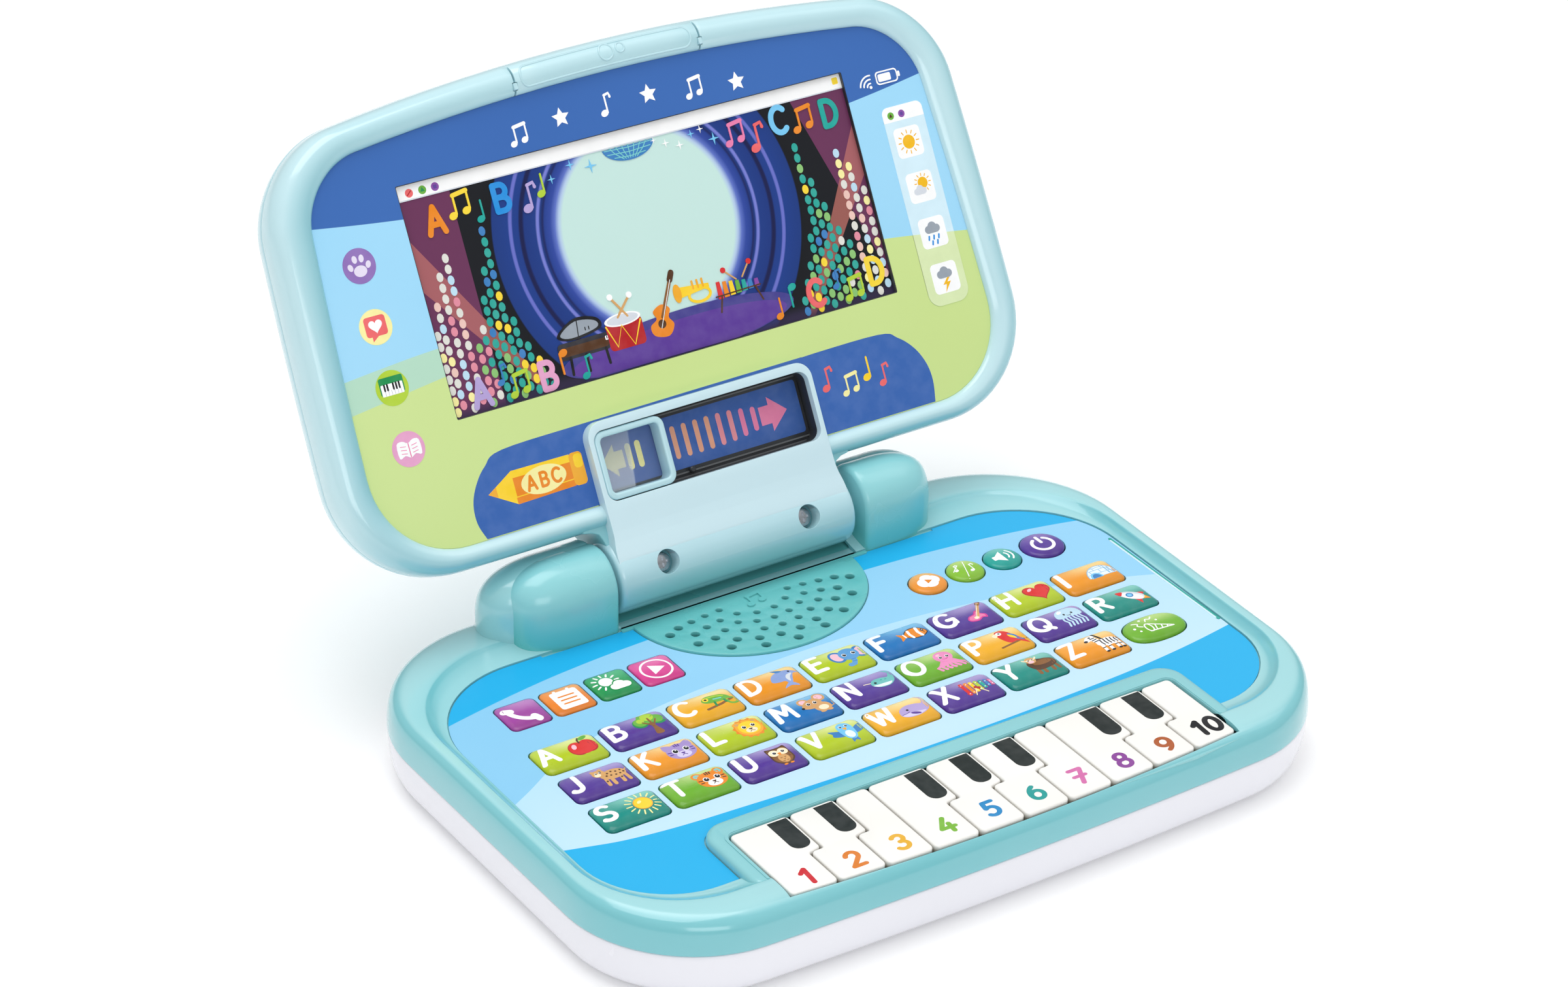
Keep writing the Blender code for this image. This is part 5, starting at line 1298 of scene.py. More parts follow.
        return [(c_, [(x * math.cos(a) - y * math.sin(a), x * math.sin(a) + y * math.cos(a)) for x, y in p]) for c_, p in rot]
    if ch == "s":
        return rays(0, 0, 3.3, 4.9, 16, 0.4, "paleyellow") + [("amber", E(0, 0, 2.75)), ("sunyellow", E(0, 0, 2.45)), ("paleyellow", E(-0.7, 0.8, 0.8, 0.5, 35))]
    if ch == "u":
        out = [("darkbrown", blob([(-3.0, 3.9), (-1.4, 3.6), (1.4, 3.6), (3.0, 3.9), (3.2, 1.0), (3.0, -2.6), (0, -4.6), (-3.0, -2.6), (-3.2, 1.0)])),
               ("brown", blob([(-2.6, 3.2), (0, 2.9), (2.6, 3.2), (2.8, 0.6), (2.5, -2.4), (0, -4.1), (-2.5, -2.4), (-2.8, 0.6)])),
               ("tan", E(0, -1.7, 1.6, 2.0)), ("cream", E(-1.4, 1.4, 1.5)), ("cream", E(1.4, 1.4, 1.5)), ("orange", blob([(-0.5, 1.0), (0.5, 1.0), (0, -0.1)]))]
        for x, y in ((-0.6, -1.2), (0.6, -1.2), (0, -2.0), (-0.6, -2.8), (0.6, -2.8)):
            out.append(("brown", S([(x - 0.25, y), (x, y - 0.3), (x + 0.25, y)], 0.2, 2)))
        return out + [("orange", E(-1.0, -4.4, 0.6, 0.3)), ("orange", E(1.0, -4.4, 0.6, 0.3))] + eyes(-1.3, 1.3, 1.4, 0.5)
    if ch == "v":
        return [("deepblue", blob([(-1.8, 0.6), (-5.2, 2.2), (-4.6, 0.6), (-5.0, -0.6), (-3.2, -1.6), (-1.4, -1.6)])),
                ("deepblue", blob([(1.8, 0.6), (5.2, 2.6), (4.6, 0.8), (5.0, -0.2), (3.2, -1.4), (1.4, -1.6)])),
                ("deepblue", blob([(-0.8, -3.2), (-1.0, -5.0), (0, -4.3), (1.0, -5.0), (0.8, -3.2)])),
                ("skyline", blob([(-1.9, 3.4), (0, 4.6), (1.9, 3.4), (2.3, 0.6), (1.6, -2.6), (0, -3.8), (-1.6, -2.6), (-2.3, 0.6)])),
                ("igloo", E(0, -1.3, 1.3, 1.8)), ("amber", blob([(-0.6, 1.9), (0.6, 1.9), (0, 0.8)]))] + eyes(-0.9, 0.9, 2.7, 0.38)
    if ch == "w":
        return [("lilac", blob([(-5.0, -1.6), (-4.2, 0.9), (-1.6, 2.2), (1.4, 1.9), (3.4, 1.4), (4.2, 3.6), (3.0, 5.0), (4.9, 4.4), (6.0, 5.2), (5.4, 3.4), (5.2, 0.4), (3.4, -2.2), (0, -3.4), (-3.4, -3.1)])),
                ("palelilac", blob([(-4.8, -1.8), (-2.6, -1.4), (0.8, -1.8), (2.8, -2.2), (0, -3.2), (-3.3, -2.9)])),
                ("violet", E(-0.6, -2.2, 1.5, 0.55, -25)), ("violet", S([(-4.6, -1.5), (-3.0, -1.3), (-2.0, -0.9)], 0.22, 2)), ("black", E(-2.1, 0.1, 0.4))]
    if ch == "x":
        out = [("crimson", [(-5.2, 2.4), (5.2, 1.3), (5.2, 0.9), (-5.2, 2.0)]), ("crimson", [(-5.2, -2.0), (5.2, -0.9), (5.2, -1.3), (-5.2, -2.4)])]
        for i, c_ in enumerate(("red", "orange", "sunyellow", "lime", "teal", "deepblue", "pink")):
            x, h = -4.3 + 1.45 * i, 3.5 - 0.28 * i
            out += [(c_, rrect(x, 0.1, 1.1, 2 * h - 0.6, 0.3, 3)), ("white", ell(x, h - 1.1, 0.2, n=8)), ("white", ell(x, -h + 1.2, 0.2, n=8))]
        return out + [("cream", S([(-2.9, -3.6), (-1.2, -0.4)], 0.3, 2)), ("cream", S([(0.9, -3.8), (-0.6, -1.0)], 0.3, 2)), ("crimson", E(-1.2, -0.3, 0.55)), ("crimson", E(-0.5, -0.9, 0.55))]
    if ch == "z":
        out = [("white", S([(-1.6, -0.8), (-1.7, -4.2)], 1.0)), ("white", S([(0.2, -1.2), (0.2, -4.2)], 1.0)), ("white", S([(2.6, -1.0), (2.6, -4.2)], 1.0)), ("white", S([(3.8, -0.6), (4.1, -4.0)], 1.0)),
               ("white", E(1.0, -0.2, 3.6, 1.9)), ("white", S([(-1.4, 0.4), (-2.3, 3.4)], 2.0)), ("white", blob([(-1.4, 4.6), (-3.4, 4.4), (-5.0, 2.7), (-4.2, 1.9), (-2.4, 2.6), (-1.1, 3.4)])),
               ("black", S([(-0.9, 5.0), (-0.4, 3.4), (0.1, 1.8)], 0.7)), ("dark", E(-4.6, 2.4, 0.65, 0.5)), ("black", S([(4.5, 0.4), (5.2, -1.2)], 0.5))]
        for x in (-0.7, 0.4, 1.5, 2.6, 3.7):
            out.append(("black", S([(x, 1.4 - 0.05 * x * x), (x - 0.15, -0.1), (x + 0.1, -1.4)], 0.42, 2)))
        for y in (1.1, 2.0, 2.9):
            out.append(("black", S([(-2.7 + 0.25 * (2 - y), y), (-1.2 + 0.2 * (2 - y), y + 0.2)], 0.34, 2)))
        for x in (-1.7, 0.2, 2.6, 3.95):
            out += [("black", S([(x - 0.45, -2.6), (x + 0.45, -2.6)], 0.3, 2)), ("black", E(x + 0.05, -4.5, 0.6, 0.35))]
        return out + [("black", E(-2.6, 3.8, 0.36))]
    return []


# ================================================================== key caps
def key_paint(name, base_c, pale):
    """Printed, slightly domed cap: darker towards the front, a pale sheen across the back."""
    t = Tree(name)
    X, Y, Z = t.xyz()
    b0 = hx(base_c)
    c = t.mix(t.rng(Y, -0.0068, -0.0015, 0, 1, True), mixc(b0, (0.0, 0.0, 0.0), 0.22), b0)
    sheen = t.math("MULTIPLY", t.rng(Y, -0.0012, 0.0062, 0, 0.9, True), t.rng(X, -0.0095, 0.004, 0.22, 1, True))
    c = t.mix(sheen, c, mixc(b0, hx(pale), 0.85))
    c = t.mix(t.rng(t.noise(260, 2), 0.35, 0.65, 0, 0.02), c, (1.0, 1.0, 1.0))
    t.link(c, t.b.inputs["Base Color"])
    t.b.inputs["Specular IOR Level"].default_value = 0.25
    t.b.inputs["Coat Weight"].default_value = 0.3
    t.b.inputs["Coat Roughness"].default_value = 0.03
    t.surface(0.28, 0.04, 0.008)
    return t.m


KC = {}
for letters, cname, cc, pale in (("aehlv", "key_lime", "#B4CA06", "#F6F8B4"), ("bgjnqux", "key_purple", "#512E94", "#C3B2E6"),
                                 ("cpw", "key_yellow", "#F0AE0C", "#FFF4B8"), ("dikz", "key_orange", "#EE9608", "#FFEDA8"),
                                 ("fm", "key_blue", "#0470BA", "#9AD6F6"), ("ot", "key_green", "#6CB01E", "#E2F3AC"),
                                 ("rsy", "key_teal", "#008C80", "#9ADFD2")):
    m_ = key_paint(cname, cc, pale)
    for ch in letters:
        KC[ch] = (m_, cname)
KC["party"] = (key_paint("key_party", "#6CB01E", "#D6EE9C"), "key_green")
DOME = [(0, -2.6), (0, 0.05), (0.12, 0.35), (0.35, 0.62), (0.8, 0.88), (1.5, 1.08), (2.4, 1.2), (3.3, 1.27), (4.4, 1.3),
        (5.7, 1.31)]
for nm, kx, ky in key_centres():
    node = "party_key" if nm == "party" else "letter_key_" + nm
    if nm == "party":
        rings = [at(party(0, 0, KEY_W - 2 * k, KEY_D - 2 * k), z) for k, z in DOME]
    else:
        rings = [at(rrect(0, 0, KEY_W - 2 * k, KEY_D - 2 * k, max(2.2 - 0.12 * k, 0.5), 6), z) for k, z in DOME]
    cap = loft("cap_" + nm, rings, BASE, [KC[nm][0]], sharp=60, loc=(kx, ky, 0))
    hf = height_of(cap)
    ride(cap, node, node)
    if nm == "party":
        W_ = "white"
        items = [(W_, stroke([(-1.6, 1.6), (5.4, -3.0)], 0.45, 2)), (W_, stroke([(-3.0, -2.4), (5.4, -3.0)], 0.45, 2)),
                 (W_, stroke(arc(-2.3, -0.4, 1.1, 2.2, -10, 200, 12), 0.45, 2)), (W_, stroke(arc(-2.3, -0.4, 1.1, 2.2, 170, 370, 12), 0.45, 2)),
                 (W_, stroke([(0.2, 0.0), (-0.6, -2.5)], 0.4, 2)), (W_, stroke([(1.9, -1.0), (1.4, -2.6)], 0.4, 2)),
                 (W_, stroke([(3.5, -1.9), (3.2, -2.8)], 0.4, 2)), (W_, stroke(smooth([(-3.9, 0.8), (-5.2, 1.9), (-4.6, 3.0), (-6.2, 3.9)], 4), 0.45, 2)),
                 (W_, stroke(smooth([(-1.4, 3.0), (-0.6, 4.2), (0.6, 3.6), (1.6, 4.6)], 4), 0.45, 2)), (W_, ell(-7.0, 1.0, 0.5)),
                 (W_, ell(-2.9, 4.4, 0.45)), (W_, ell(-5.9, -1.0, 0.4)), (W_, ell(2.2, 2.2, 0.4))]
        paint("print_party", items, BASE, node, hf, 1.2, 0.02, 0.004, 0.1, loc=(kx, ky, 0))
        continue
    wide = glyph_lines(nm.upper())[0]
    items = [(c_, [(min(4.6 + 1.1 * x, 10.1), max(min(0.35 + 1.1 * y, 6.3), -6.3)) for x, y in p]) for c_, p in pic(nm)]
    items += glyph(nm.upper(), -10.6 + 0.5 * (wide * 7.5 + 1.55), 1.5, 9.2, 1.6, "white")
    paint("print_" + nm, items, BASE, node, hf, 1.1, 0.02, 0.004, 0.1, loc=(kx, ky, 0))

AP = {"phone": "#A2409E", "notes": "#EE8422", "weather": "#14964F", "play": "#DC3A90"}
APL = {"phone": "#CE92CE", "notes": "#F7B878", "weather": "#6FC493", "play": "#F08CC0"}
A_DOME = [(0, -2.6), (0, 0.0), (0.12, 0.25), (0.4, 0.45), (0.9, 0.62), (1.8, 0.75), (3.2, 0.82), (5.0, 0.84)]
for nm, kx in APPS:
    node = "app_key_" + nm
    cap = loft("cap_" + nm, [at(rrect(0, 0, APP_S - 2 * k, APP_S - 2 * k, max(1.9 - 0.1 * k, 0.5), 6), z) for k, z in A_DOME],
               BASE, [key_paint("app_" + nm, AP[nm], APL[nm])], sharp=60, loc=(kx, APP_Y, 0))
    hf = height_of(cap)
    ride(cap, node, node)
    W_ = "white"
    if nm == "phone":
        items = [(W_, stroke(arc(2.9, 2.9, 6.2, 6.2, 188, 262, 14), 1.5)), (W_, stroke([(-3.9, 2.6), (-2.5, 2.0)], 2.1)),
                 (W_, stroke([(2.6, -3.9), (2.0, -2.5)], 2.1))]
        items = [(c_, [(1.22 * x - 0.1, 1.22 * y - 0.1) for x, y in p]) for c_, p in items]
    elif nm == "notes":
        items = [(W_, rrect(0.2, -0.3, 9.2, 9.6, 1.0)), ("orange", stroke([(-2.4, 1.5), (2.8, 1.5)], 0.7, 2)), ("orange", stroke([(-2.4, -0.5), (2.8, -0.5)], 0.7, 2)),
                 ("orange", stroke([(-2.4, -2.5), (2.8, -2.5)], 0.7, 2)), (W_, rrect(-2.2, 4.3, 1.0, 2.0, 0.4)), (W_, rrect(2.4, 4.3, 1.0, 2.0, 0.4))]
    elif nm == "weather":
        items = rays(-1.6, 1.4, 3.1, 4.4, 12, 0.6, W_) + [(W_, ell(-1.6, 1.4, 2.3))] + \
            [("icongreen", p) for _, p in cloud(1.6, -1.8, 4.1, W_)] + [(W_, p) for _, p in cloud(1.6, -2.0, 3.6, W_)]
    else:
        items = [(W_, stroke(p, 0.7)) for p in (arc(0, 0, 5, 5, 0, 185, 22), arc(0, 0, 5, 5, 175, 365, 22))] + \
            [(W_, [(-1.8, 2.7), (3.0, 0), (-1.8, -2.7)])]
    paint("print_app_" + nm, items, BASE, node, hf, 1.2, 0.02, 0.004, 0.1, loc=(kx, APP_Y, 0))

RC = {"button_song": ("#F0952A", "key_orange", "#FBD48C"), "button_music": ("#86BE2C", "key_green", "#DDEE9A"),
      "button_volume": ("#14A096", "key_teal", "#8FD8CE"), "button_power": ("#512E94", "key_purple", "#9C84C6")}
for nm, kx, r0 in ROUNDS:
    R_DOME = [(0, -2.6), (0, 0.1), (0.12, 0.4), (0.4, 0.68), (1.0, 0.95), (2.0, 1.14), (3.4, 1.22), (5.2, 1.25)]
    cap = loft("cap_" + nm, [at(ell(0, 0, r0 - k, n=48), z) for k, z in R_DOME], BASE, [key_paint("round_" + nm, RC[nm][0], RC[nm][2])],
               sharp=60, loc=(kx, ROUND_Y, 0))
    hf = height_of(cap)
    ride(cap, nm, nm)
    W_ = "white"
    if nm == "button_song":
        items = [(W_, ell(-1.6, -0.4, 2.4)), (W_, ell(1.9, 0.2, 2.3)), (W_, ell(0.4, 1.4, 2.3)), (W_, ell(0.2, -1.0, 2.7)),
                 ("orange", [(-0.7, 1.3), (1.6, 0), (-0.7, -1.3)])]
    elif nm == "button_music":
        items = [(W_, stroke([(-1.9, -5.2), (1.9, 5.2)], 0.3, 2))] + q_note(1.6, -1.8, 4.0, W_, True) + q_note(-3.2, 0.2, 3.4, W_, True) + \
            [(W_, stroke([(-4.4, 0.2), (-1.4, 2.9)], 0.35, 2))]
    elif nm == "button_volume":
        items = [(W_, rrect(-2.7, 0, 1.7, 2.2, 0.3)), (W_, [(-2.4, 1.0), (0.3, 3.1), (0.3, -3.1), (-2.4, -1.0)]),
                 (W_, stroke(arc(0, 0, 2.2, 2.2, -42, 42, 8), 0.6)), (W_, stroke(arc(0, 0, 3.7, 3.7, -44, 44, 10), 0.6))]
    else:
        items = [(W_, stroke(p, 1.15)) for p in (arc(0, -0.3, 3.6, 3.6, 122, 285, 22), arc(0, -0.3, 3.6, 3.6, 275, 418, 22))] + \
            [(W_, stroke([(0, 0.6), (0, 4.0)], 1.15))]
    paint("print_" + nm, items, BASE, nm, hf, 1.2, 0.02, 0.004, 0.1, loc=(kx, ROUND_Y, 0))

# ================================================================ piano keys
G_ = 0.36
# key colour with painted shade: greyish brown low on the key sides and in the gaps, ivory towards the top
t = Tree("piano_ivory_painted_shade")
X, Y, Z = t.xyz()
c = t.mix(t.rng(Z, 0.0002, 0.0022, 0, 1, True), hx("#A79F90"), t.mix(t.rng(t.noise(30, 2), 0.3, 0.7, 0, 1), hx("#F3F1EC"), hx("#F7F6F2")))
t.link(c, t.b.inputs["Base Color"])
t.b.inputs["Specular IOR Level"].default_value = 0.35
t.b.inputs["Coat Weight"].default_value = 0.15
t.b.inputs["Coat Roughness"].default_value = 0.08
t.surface(0.25, 0.04, 0.008)
IVORY_K = t.m
for i in range(1, 11):
    xl, xr = PIANO_X - 80 + (i - 1) * PITCH, PIANO_X - 80 + i * PITCH
    jl = JOG if (i - 1) in SHARP else 0
    jr = JOG if i in SHARP else 0
    xs = [xl + G_ + 1.5 + (xr - xl - 2 * G_ - 3.0) * k / 6 for k in range(7)]
    yf = [piano_front(x) for x in xs]
    pts = arc(xl + G_ + 1.5, yf[0] + 1.5, 1.5, 1.5, 180, 262, 4) + [(x, y) for x, y in zip(xs, yf)] + \
        arc(xr - G_ - 1.5, yf[-1] + 1.5, 1.5, 1.5, 278, 360, 4)
    if jr:
        pts += [(xr - G_, JOG_Y - G_ - 1.3)] + arc(xr - G_ + 1.3, JOG_Y - G_ - 1.05, 1.3, 1.3, 168, 96, 4) + \
            [(xr + jr - G_ - 0.9, JOG_Y + G_), (xr + jr - G_ - 0.25, JOG_Y + G_ + 0.25), (xr + jr - G_, JOG_Y + G_ + 0.9)]
    rx = xr + jr - G_
    lx = xl + jl + G_
    cr = 1.6
    pts += [(rx, PB - cr)] + arc(rx - cr, PB - cr, cr, cr, 0, 90, 5) + arc(lx + cr, PB - cr, cr, cr, 90, 180, 5)
    if jl:
        pts += [(lx, JOG_Y - G_ + 0.9)] + [(lx - 0.25, JOG_Y - G_ + 0.2), (lx - 0.9, JOG_Y - G_)] + \
            [(xl + G_ + 1.3, JOG_Y - G_), (xl + G_ + 0.4, JOG_Y - G_ - 0.35), (xl + G_, JOG_Y - G_ - 1.3)]
    key = loft("white_key_%02d" % i, [at(pts, -3.2), at(pts, 2.6)], BASE, [IVORY_K], sharp=40,
               loc=(0, 0, 0))
    bevel(key, 0.6, 4, 60)
    node = "piano_key_%02d" % i
    ride(key, node, node)
    items = []
    if i in SHARP:
        items.append(("inlay", rrect(xr, -133.6, 6.6, 13.4, 0.35, 3)[:]))
        items[-1] = ("inlay", [(xr + 3.3, -127.5), (xr - 3.3, -127.5)] + arc(xr - 0.3, -139.5, 3.0, 3.2, 180, 270, 8)
                     + arc(xr + 0.3, -139.5, 3.0, 3.2, 270, 360, 8))
        paint("inlay_%02d" % i, items, BASE, node, 2.6, None, 0.05, 0.004, 0.2)
    gx = (xl + xr) / 2 + 1.2
    if i < 10:
        items = glyph(str(i), gx, -154.9, 8.0, 1.45, "d%d" % i, 0.06)
        if i == 7:
            items.append(("d7", stroke([(gx - 1.6, -154.9), (gx + 1.9, -154.9)], 1.3)))
        items = [(c_, [(gx - 0.35 + (x - gx) * 1.13, -154.9 + (y + 154.9) * 1.04) for x, y in p]) for c_, p in items]
    else:
        items = glyph("1", gx - 2.3, -153.4, 8.7, 1.8, "d10", 0.06) + glyph("0", gx + 2.8, -153.4, 8.7, 1.8, "d10", 0.06)
    paint("digit_%02d" % i, items, BASE, node, 2.6, None, 0.02, 0.004, 0.12)

# ============================================================== lid graphics
W_ = "white"
lidp = []
# blue tab with crayon and notes
tabo = [(-81.4, 23.1), (-83.3, 28.5), (-83.0, 34.5), (-80.4, 40.0), (-76.0, 44.8), (-69.0, 48.3), (-40, 48.9), (0, 49.2),
        (40, 49.4), (71, 49.3), (78.0, 46.6), (83.2, 41.8), (86.2, 36.0), (87.0, 30.0), (85.9, 23.1)]
tabs = smooth(tabo, 5)
lidp.append(("tab", [p for p in tabs if p[0] < -41] + [(-41, 48.9), (-41, 23.1)]))
lidp.append(("tab", [(41, 23.1), (41, 49.3)] + [p for p in tabs if p[0] > 41.5]))
lidp.append(("tab", [(-41.3, 43.0)] + arc(-36, 43, 5.2, 5.2, 180, 90, 6) + [(-36, 48.9), (-41.3, 48.7)]))
lidp.append(("tab", [(41.3, 43.0), (41.3, 49.2), (36, 49.2)] + arc(36, 43, 5.2, 5.2, 90, 0, 6)))
lidp.append(("tab", [(-41.5, 47.6), (41.5, 47.6), (41.5, 49.4), (0, 49.2), (-41.5, 48.9)]))
lidp += [("sunyellow", [(-77.3, 36.0), (-68.0, 41.2), (-68.0, 30.6)]), ("amber", [(-77.3, 36.0), (-74.2, 37.7), (-74.2, 34.2)]),
         ("sunyellow", [(-68.2, 41.2), (-68.2, 30.6), (-47.4, 31.0), (-47.4, 41.0)]), ("orange", [(-68.0, 38.9), (-68.0, 33.0), (-47.4, 33.3), (-47.4, 38.6)]),
         ("orange", [(-68.2, 32.7), (-68.2, 30.6), (-47.4, 31.0), (-47.4, 33.0)]),
         ("amber", rrect(-45.4, 36.0, 4.6, 10.4, 1.4)), ("sunyellow", rrect(-44.8, 38.4, 3.0, 4.4, 1.2)), ("paleyellow", ell(-57.7, 35.9, 8.0, 4.3, 2, 40))]
lidp += glyph("A", -62.1, 35.8, 5.2, 0.95, "orange") + glyph("B", -57.6, 35.9, 5.2, 0.95, "orange") + glyph("C", -53.2, 36.0, 5.2, 0.95, "orange")
lidp += q_note(47.6, 37.4, 7.2, "coral", True) + beam_note(56.3, 34.4, 6.6, "paleyellow") + q_note(63.3, 37.2, 7.4, "sunyellow") + \
    q_note(68.6, 34.0, 6.6, "coral", True)
# icons down the left side
for vy, bg in ((113.9, "pawbg"), (94.8, "paleyellow"), (75.7, "lime"), (56.5, "bookpink")):
    lidp.append((bg, ell(-99.0, vy, 5.5, n=44)))
lidp += [("paw", ell(-99.0, 112.3, 2.2, 1.75)), ("paw", ell(-102.0, 113.9, 0.85, 1.15, 20)), ("paw", ell(-100.1, 116.1, 0.85, 1.2, 5)),
         ("paw", ell(-97.8, 116.0, 0.85, 1.2, -8)), ("paw", ell(-96.0, 113.8, 0.85, 1.15, -22))]
# generic notes and stars along the top band
for bx_, kind in ((-36, 0), (-20, 1), (-4, 2), (12, 1), (28, 0), (44, 1)):
    bv = 143.0 - 6.2 * (bx_ / 60.0) ** 2
    if kind == 0:
        lidp += beam_note(bx_, bv - 2.6, 6.4, W_)
    elif kind == 1:
        lidp.append((W_, star(bx_, bv, 3.2, 0.48, 5)))
    else:
        lidp += q_note(bx_ - 0.6, bv - 2.8, 6.6, W_, True)
lidp += [("coral", rrect(-99.0, 95.1, 7.2, 6.2, 1.0)), ("coral", [(-100.9, 92.6), (-97.9, 92.6), (-100.9, 90.5)]), (W_, heart(-99.0, 95.2, 2.3))]
lidp += [("forest", rrect(-99.0, 76.6, 8.2, 5.4, 0.6)), (W_, rrect(-99.0, 75.4, 7.4, 3.6, 0.3))]
for k in (0, 1, 3, 4, 5):
    lidp.append(("black", stroke([(-101.5 + 1.0 * k, 77.1), (-101.5 + 1.0 * k, 75.3)], 0.62, 2)))
for k in range(6):
    lidp.append(("grey", stroke([(-101.7 + 1.06 * k + 0.2, 75.2), (-101.7 + 1.06 * k + 0.2, 73.7)], 0.1, 2)))
lidp += [(W_, blob([(-102.6, 58.6), (-100.6, 59.2), (-98.8, 58.3), (-97.0, 59.2), (-95.0, 58.6), (-95.0, 54.2), (-97.0, 54.7), (-98.8, 53.8), (-100.6, 54.7), (-102.6, 54.2)], 3)),
         ("pink", stroke([(-98.8, 58.2), (-98.8, 54.0)], 0.35, 2))]
for k in range(3):
    lidp += [("pink", stroke([(-101.6, 57.7 - 1.1 * k), (-99.8, 57.4 - 1.1 * k)], 0.22, 2)), ("pink", stroke([(-97.8, 57.4 - 1.1 * k), (-96.0, 57.7 - 1.1 * k)], 0.22, 2))]
# weather strip on the right
lidp += [("strip", rrect(101.1, 85.8, 15.6, 66.8, 4.4, 8)), ("stripgreen", sorted([p for p in rrect(101.1, 85.8, 15.6, 66.8, 4.4, 8) if p[1] < 73.5] + [(93.3, 77.2), (108.9, 74.9)],
                                key=lambda p: math.atan2(p[1] - 66.0, p[0] - 101.1))), (W_, rrect(101.1, 116.9, 15.6, 4.8, 2.3, 6)), (W_, rrect(101.1, 115.3, 15.6, 2.0, 0.1, 1)),
         ("leaf", ell(96.4, 116.4, 1.25)), ("darkbrown", [(96.4, 117.2), (97.05, 115.9), (95.75, 115.9)]), ("purple", ell(100.6, 116.4, 1.25)), ("violet", rrect(100.6, 116.4, 1.1, 1.1, 0.2))]
for tx, ty in ((100.7, 106.9), (100.9, 91.7), (101.1, 76.4), (101.3, 61.1)):
    lidp.append((W_, rrect(tx, ty, 10.0, 10.0, 1.6)))
lidp += rays(100.7, 106.9, 2.9, 3.9, 12, 0.36, "sungold") + [("sungold", ell(100.7, 106.9, 2.3))]
lidp += rays(101.9, 92.9, 2.3, 3.1, 12, 0.32, "sungold") + [("sungold", ell(101.9, 92.9, 1.9))] + cloud(100.3, 90.6, 2.5, "palegrey")
lidp += cloud(101.1, 77.8, 3.0, "grey") + [("brightblue", stroke([(101.1 + dx, 75.3 - dy), (100.8 + dx, 74.2 - dy)], 0.6, 3)) for dx, dy in
                                            ((-1.9, 0), (0, 0), (1.9, 0), (-0.9, 1.7), (1.0, 1.7))]
lidp += cloud(101.3, 62.6, 3.0, "grey") + [("sungold", [(101.9, 61.0), (99.9, 58.9), (101.2, 58.9), (100.3, 56.4), (103.0, 59.6), (101.6, 59.6), (102.9, 61.0)])]
# wireless and battery signs on the band
for rr in (1.3, 2.6, 3.9):
    lidp.append((W_, stroke(arc(91.9, 127.0, rr, rr, 82, 168, 10), 0.5, 3)))
lidp += [(W_, ell(91.9, 127.0, 0.5)), (W_, rrect(98.6, 129.2, 8.4, 4.4, 1.2)), ("band", rrect(98.6, 129.2, 7.5, 3.5, 0.9)), (W_, rrect(97.7, 129.2, 4.9, 2.5, 0.5)),
         (W_, rrect(103.3, 129.2, 0.9, 1.8, 0.4))]
paint("lid_graphics", lidp, LID, "lid", PW, None, 0.02, 0.0012, 0.1)

# ============================================================ screen graphics
scr = []
x0, x1 = SCR[0] - SCR[2] / 2, SCR[0] + SCR[2] / 2
v0, v1 = SCR[1] - SCR[3] / 2, SCR[1] + SCR[3] / 2
seedv = [7]


def rnd():
    seedv[0] = (seedv[0] * 1103515245 + 12345) % 2147483648
    return seedv[0] / 2147483648.0


cols_l = [(-45.2, 69, 0), (-47.8, 74, 0), (-50.4, 80, 0), (-53.0, 87, 0), (-55.6, 115, 0), (-58.3, 105, 0), (-60.9, 94, 0), (-63.8, 87, 1),
          (-66.6, 82, 1), (-70.0, 110, 2), (-73.4, 107, 2), (-76.8, 99, 2), (-79.2, 88, 2)]
for sgn in (1, -1):
    for ci, (cx_, top, kind) in enumerate(cols_l):
        if sgn < 0:
            cx_ = -cx_ + 3.8
            if cx_ > 81.4:
                continue
        v = 62.8 + (1.72 if ci % 2 else 0.0)
        while v < top:
            a = rnd()
            if kind == 0:
                c_ = "ovalteal" if a < 0.62 else "ovalgreen" if a < 0.78 else "deepblue" if a < 0.9 else "yellow"
            elif kind == 1:
                c_ = "ovalteal" if a < 0.3 else "ovalgreen" if a < 0.5 else "ovalpink" if a < 0.7 else "ovalpale"
            else:
                c_ = "ovalpale" if a < 0.42 else "ovalrose" if a < 0.6 else "paleyellow" if a < 0.72 else "ovalpink" if a < 0.84 else "jelly"
            if math.hypot(cx_ - 1.3, v - 102.8) > 56.2:
                scr.append((c_, ell(cx_, v, 1.14, 1.5, 0, 12)))
            v += 3.45
# stage floor
scr += [("stageblue", [p for p in ell(2.0, 67.0, 43.0, 7.6, 1.5, 60) if p[1] > v0 + 0.3]),
        ("violet", [p for p in ell(2.0, 65.8, 40.0, 6.0, 1.5, 60) if p[1] > v0 + 0.4])]
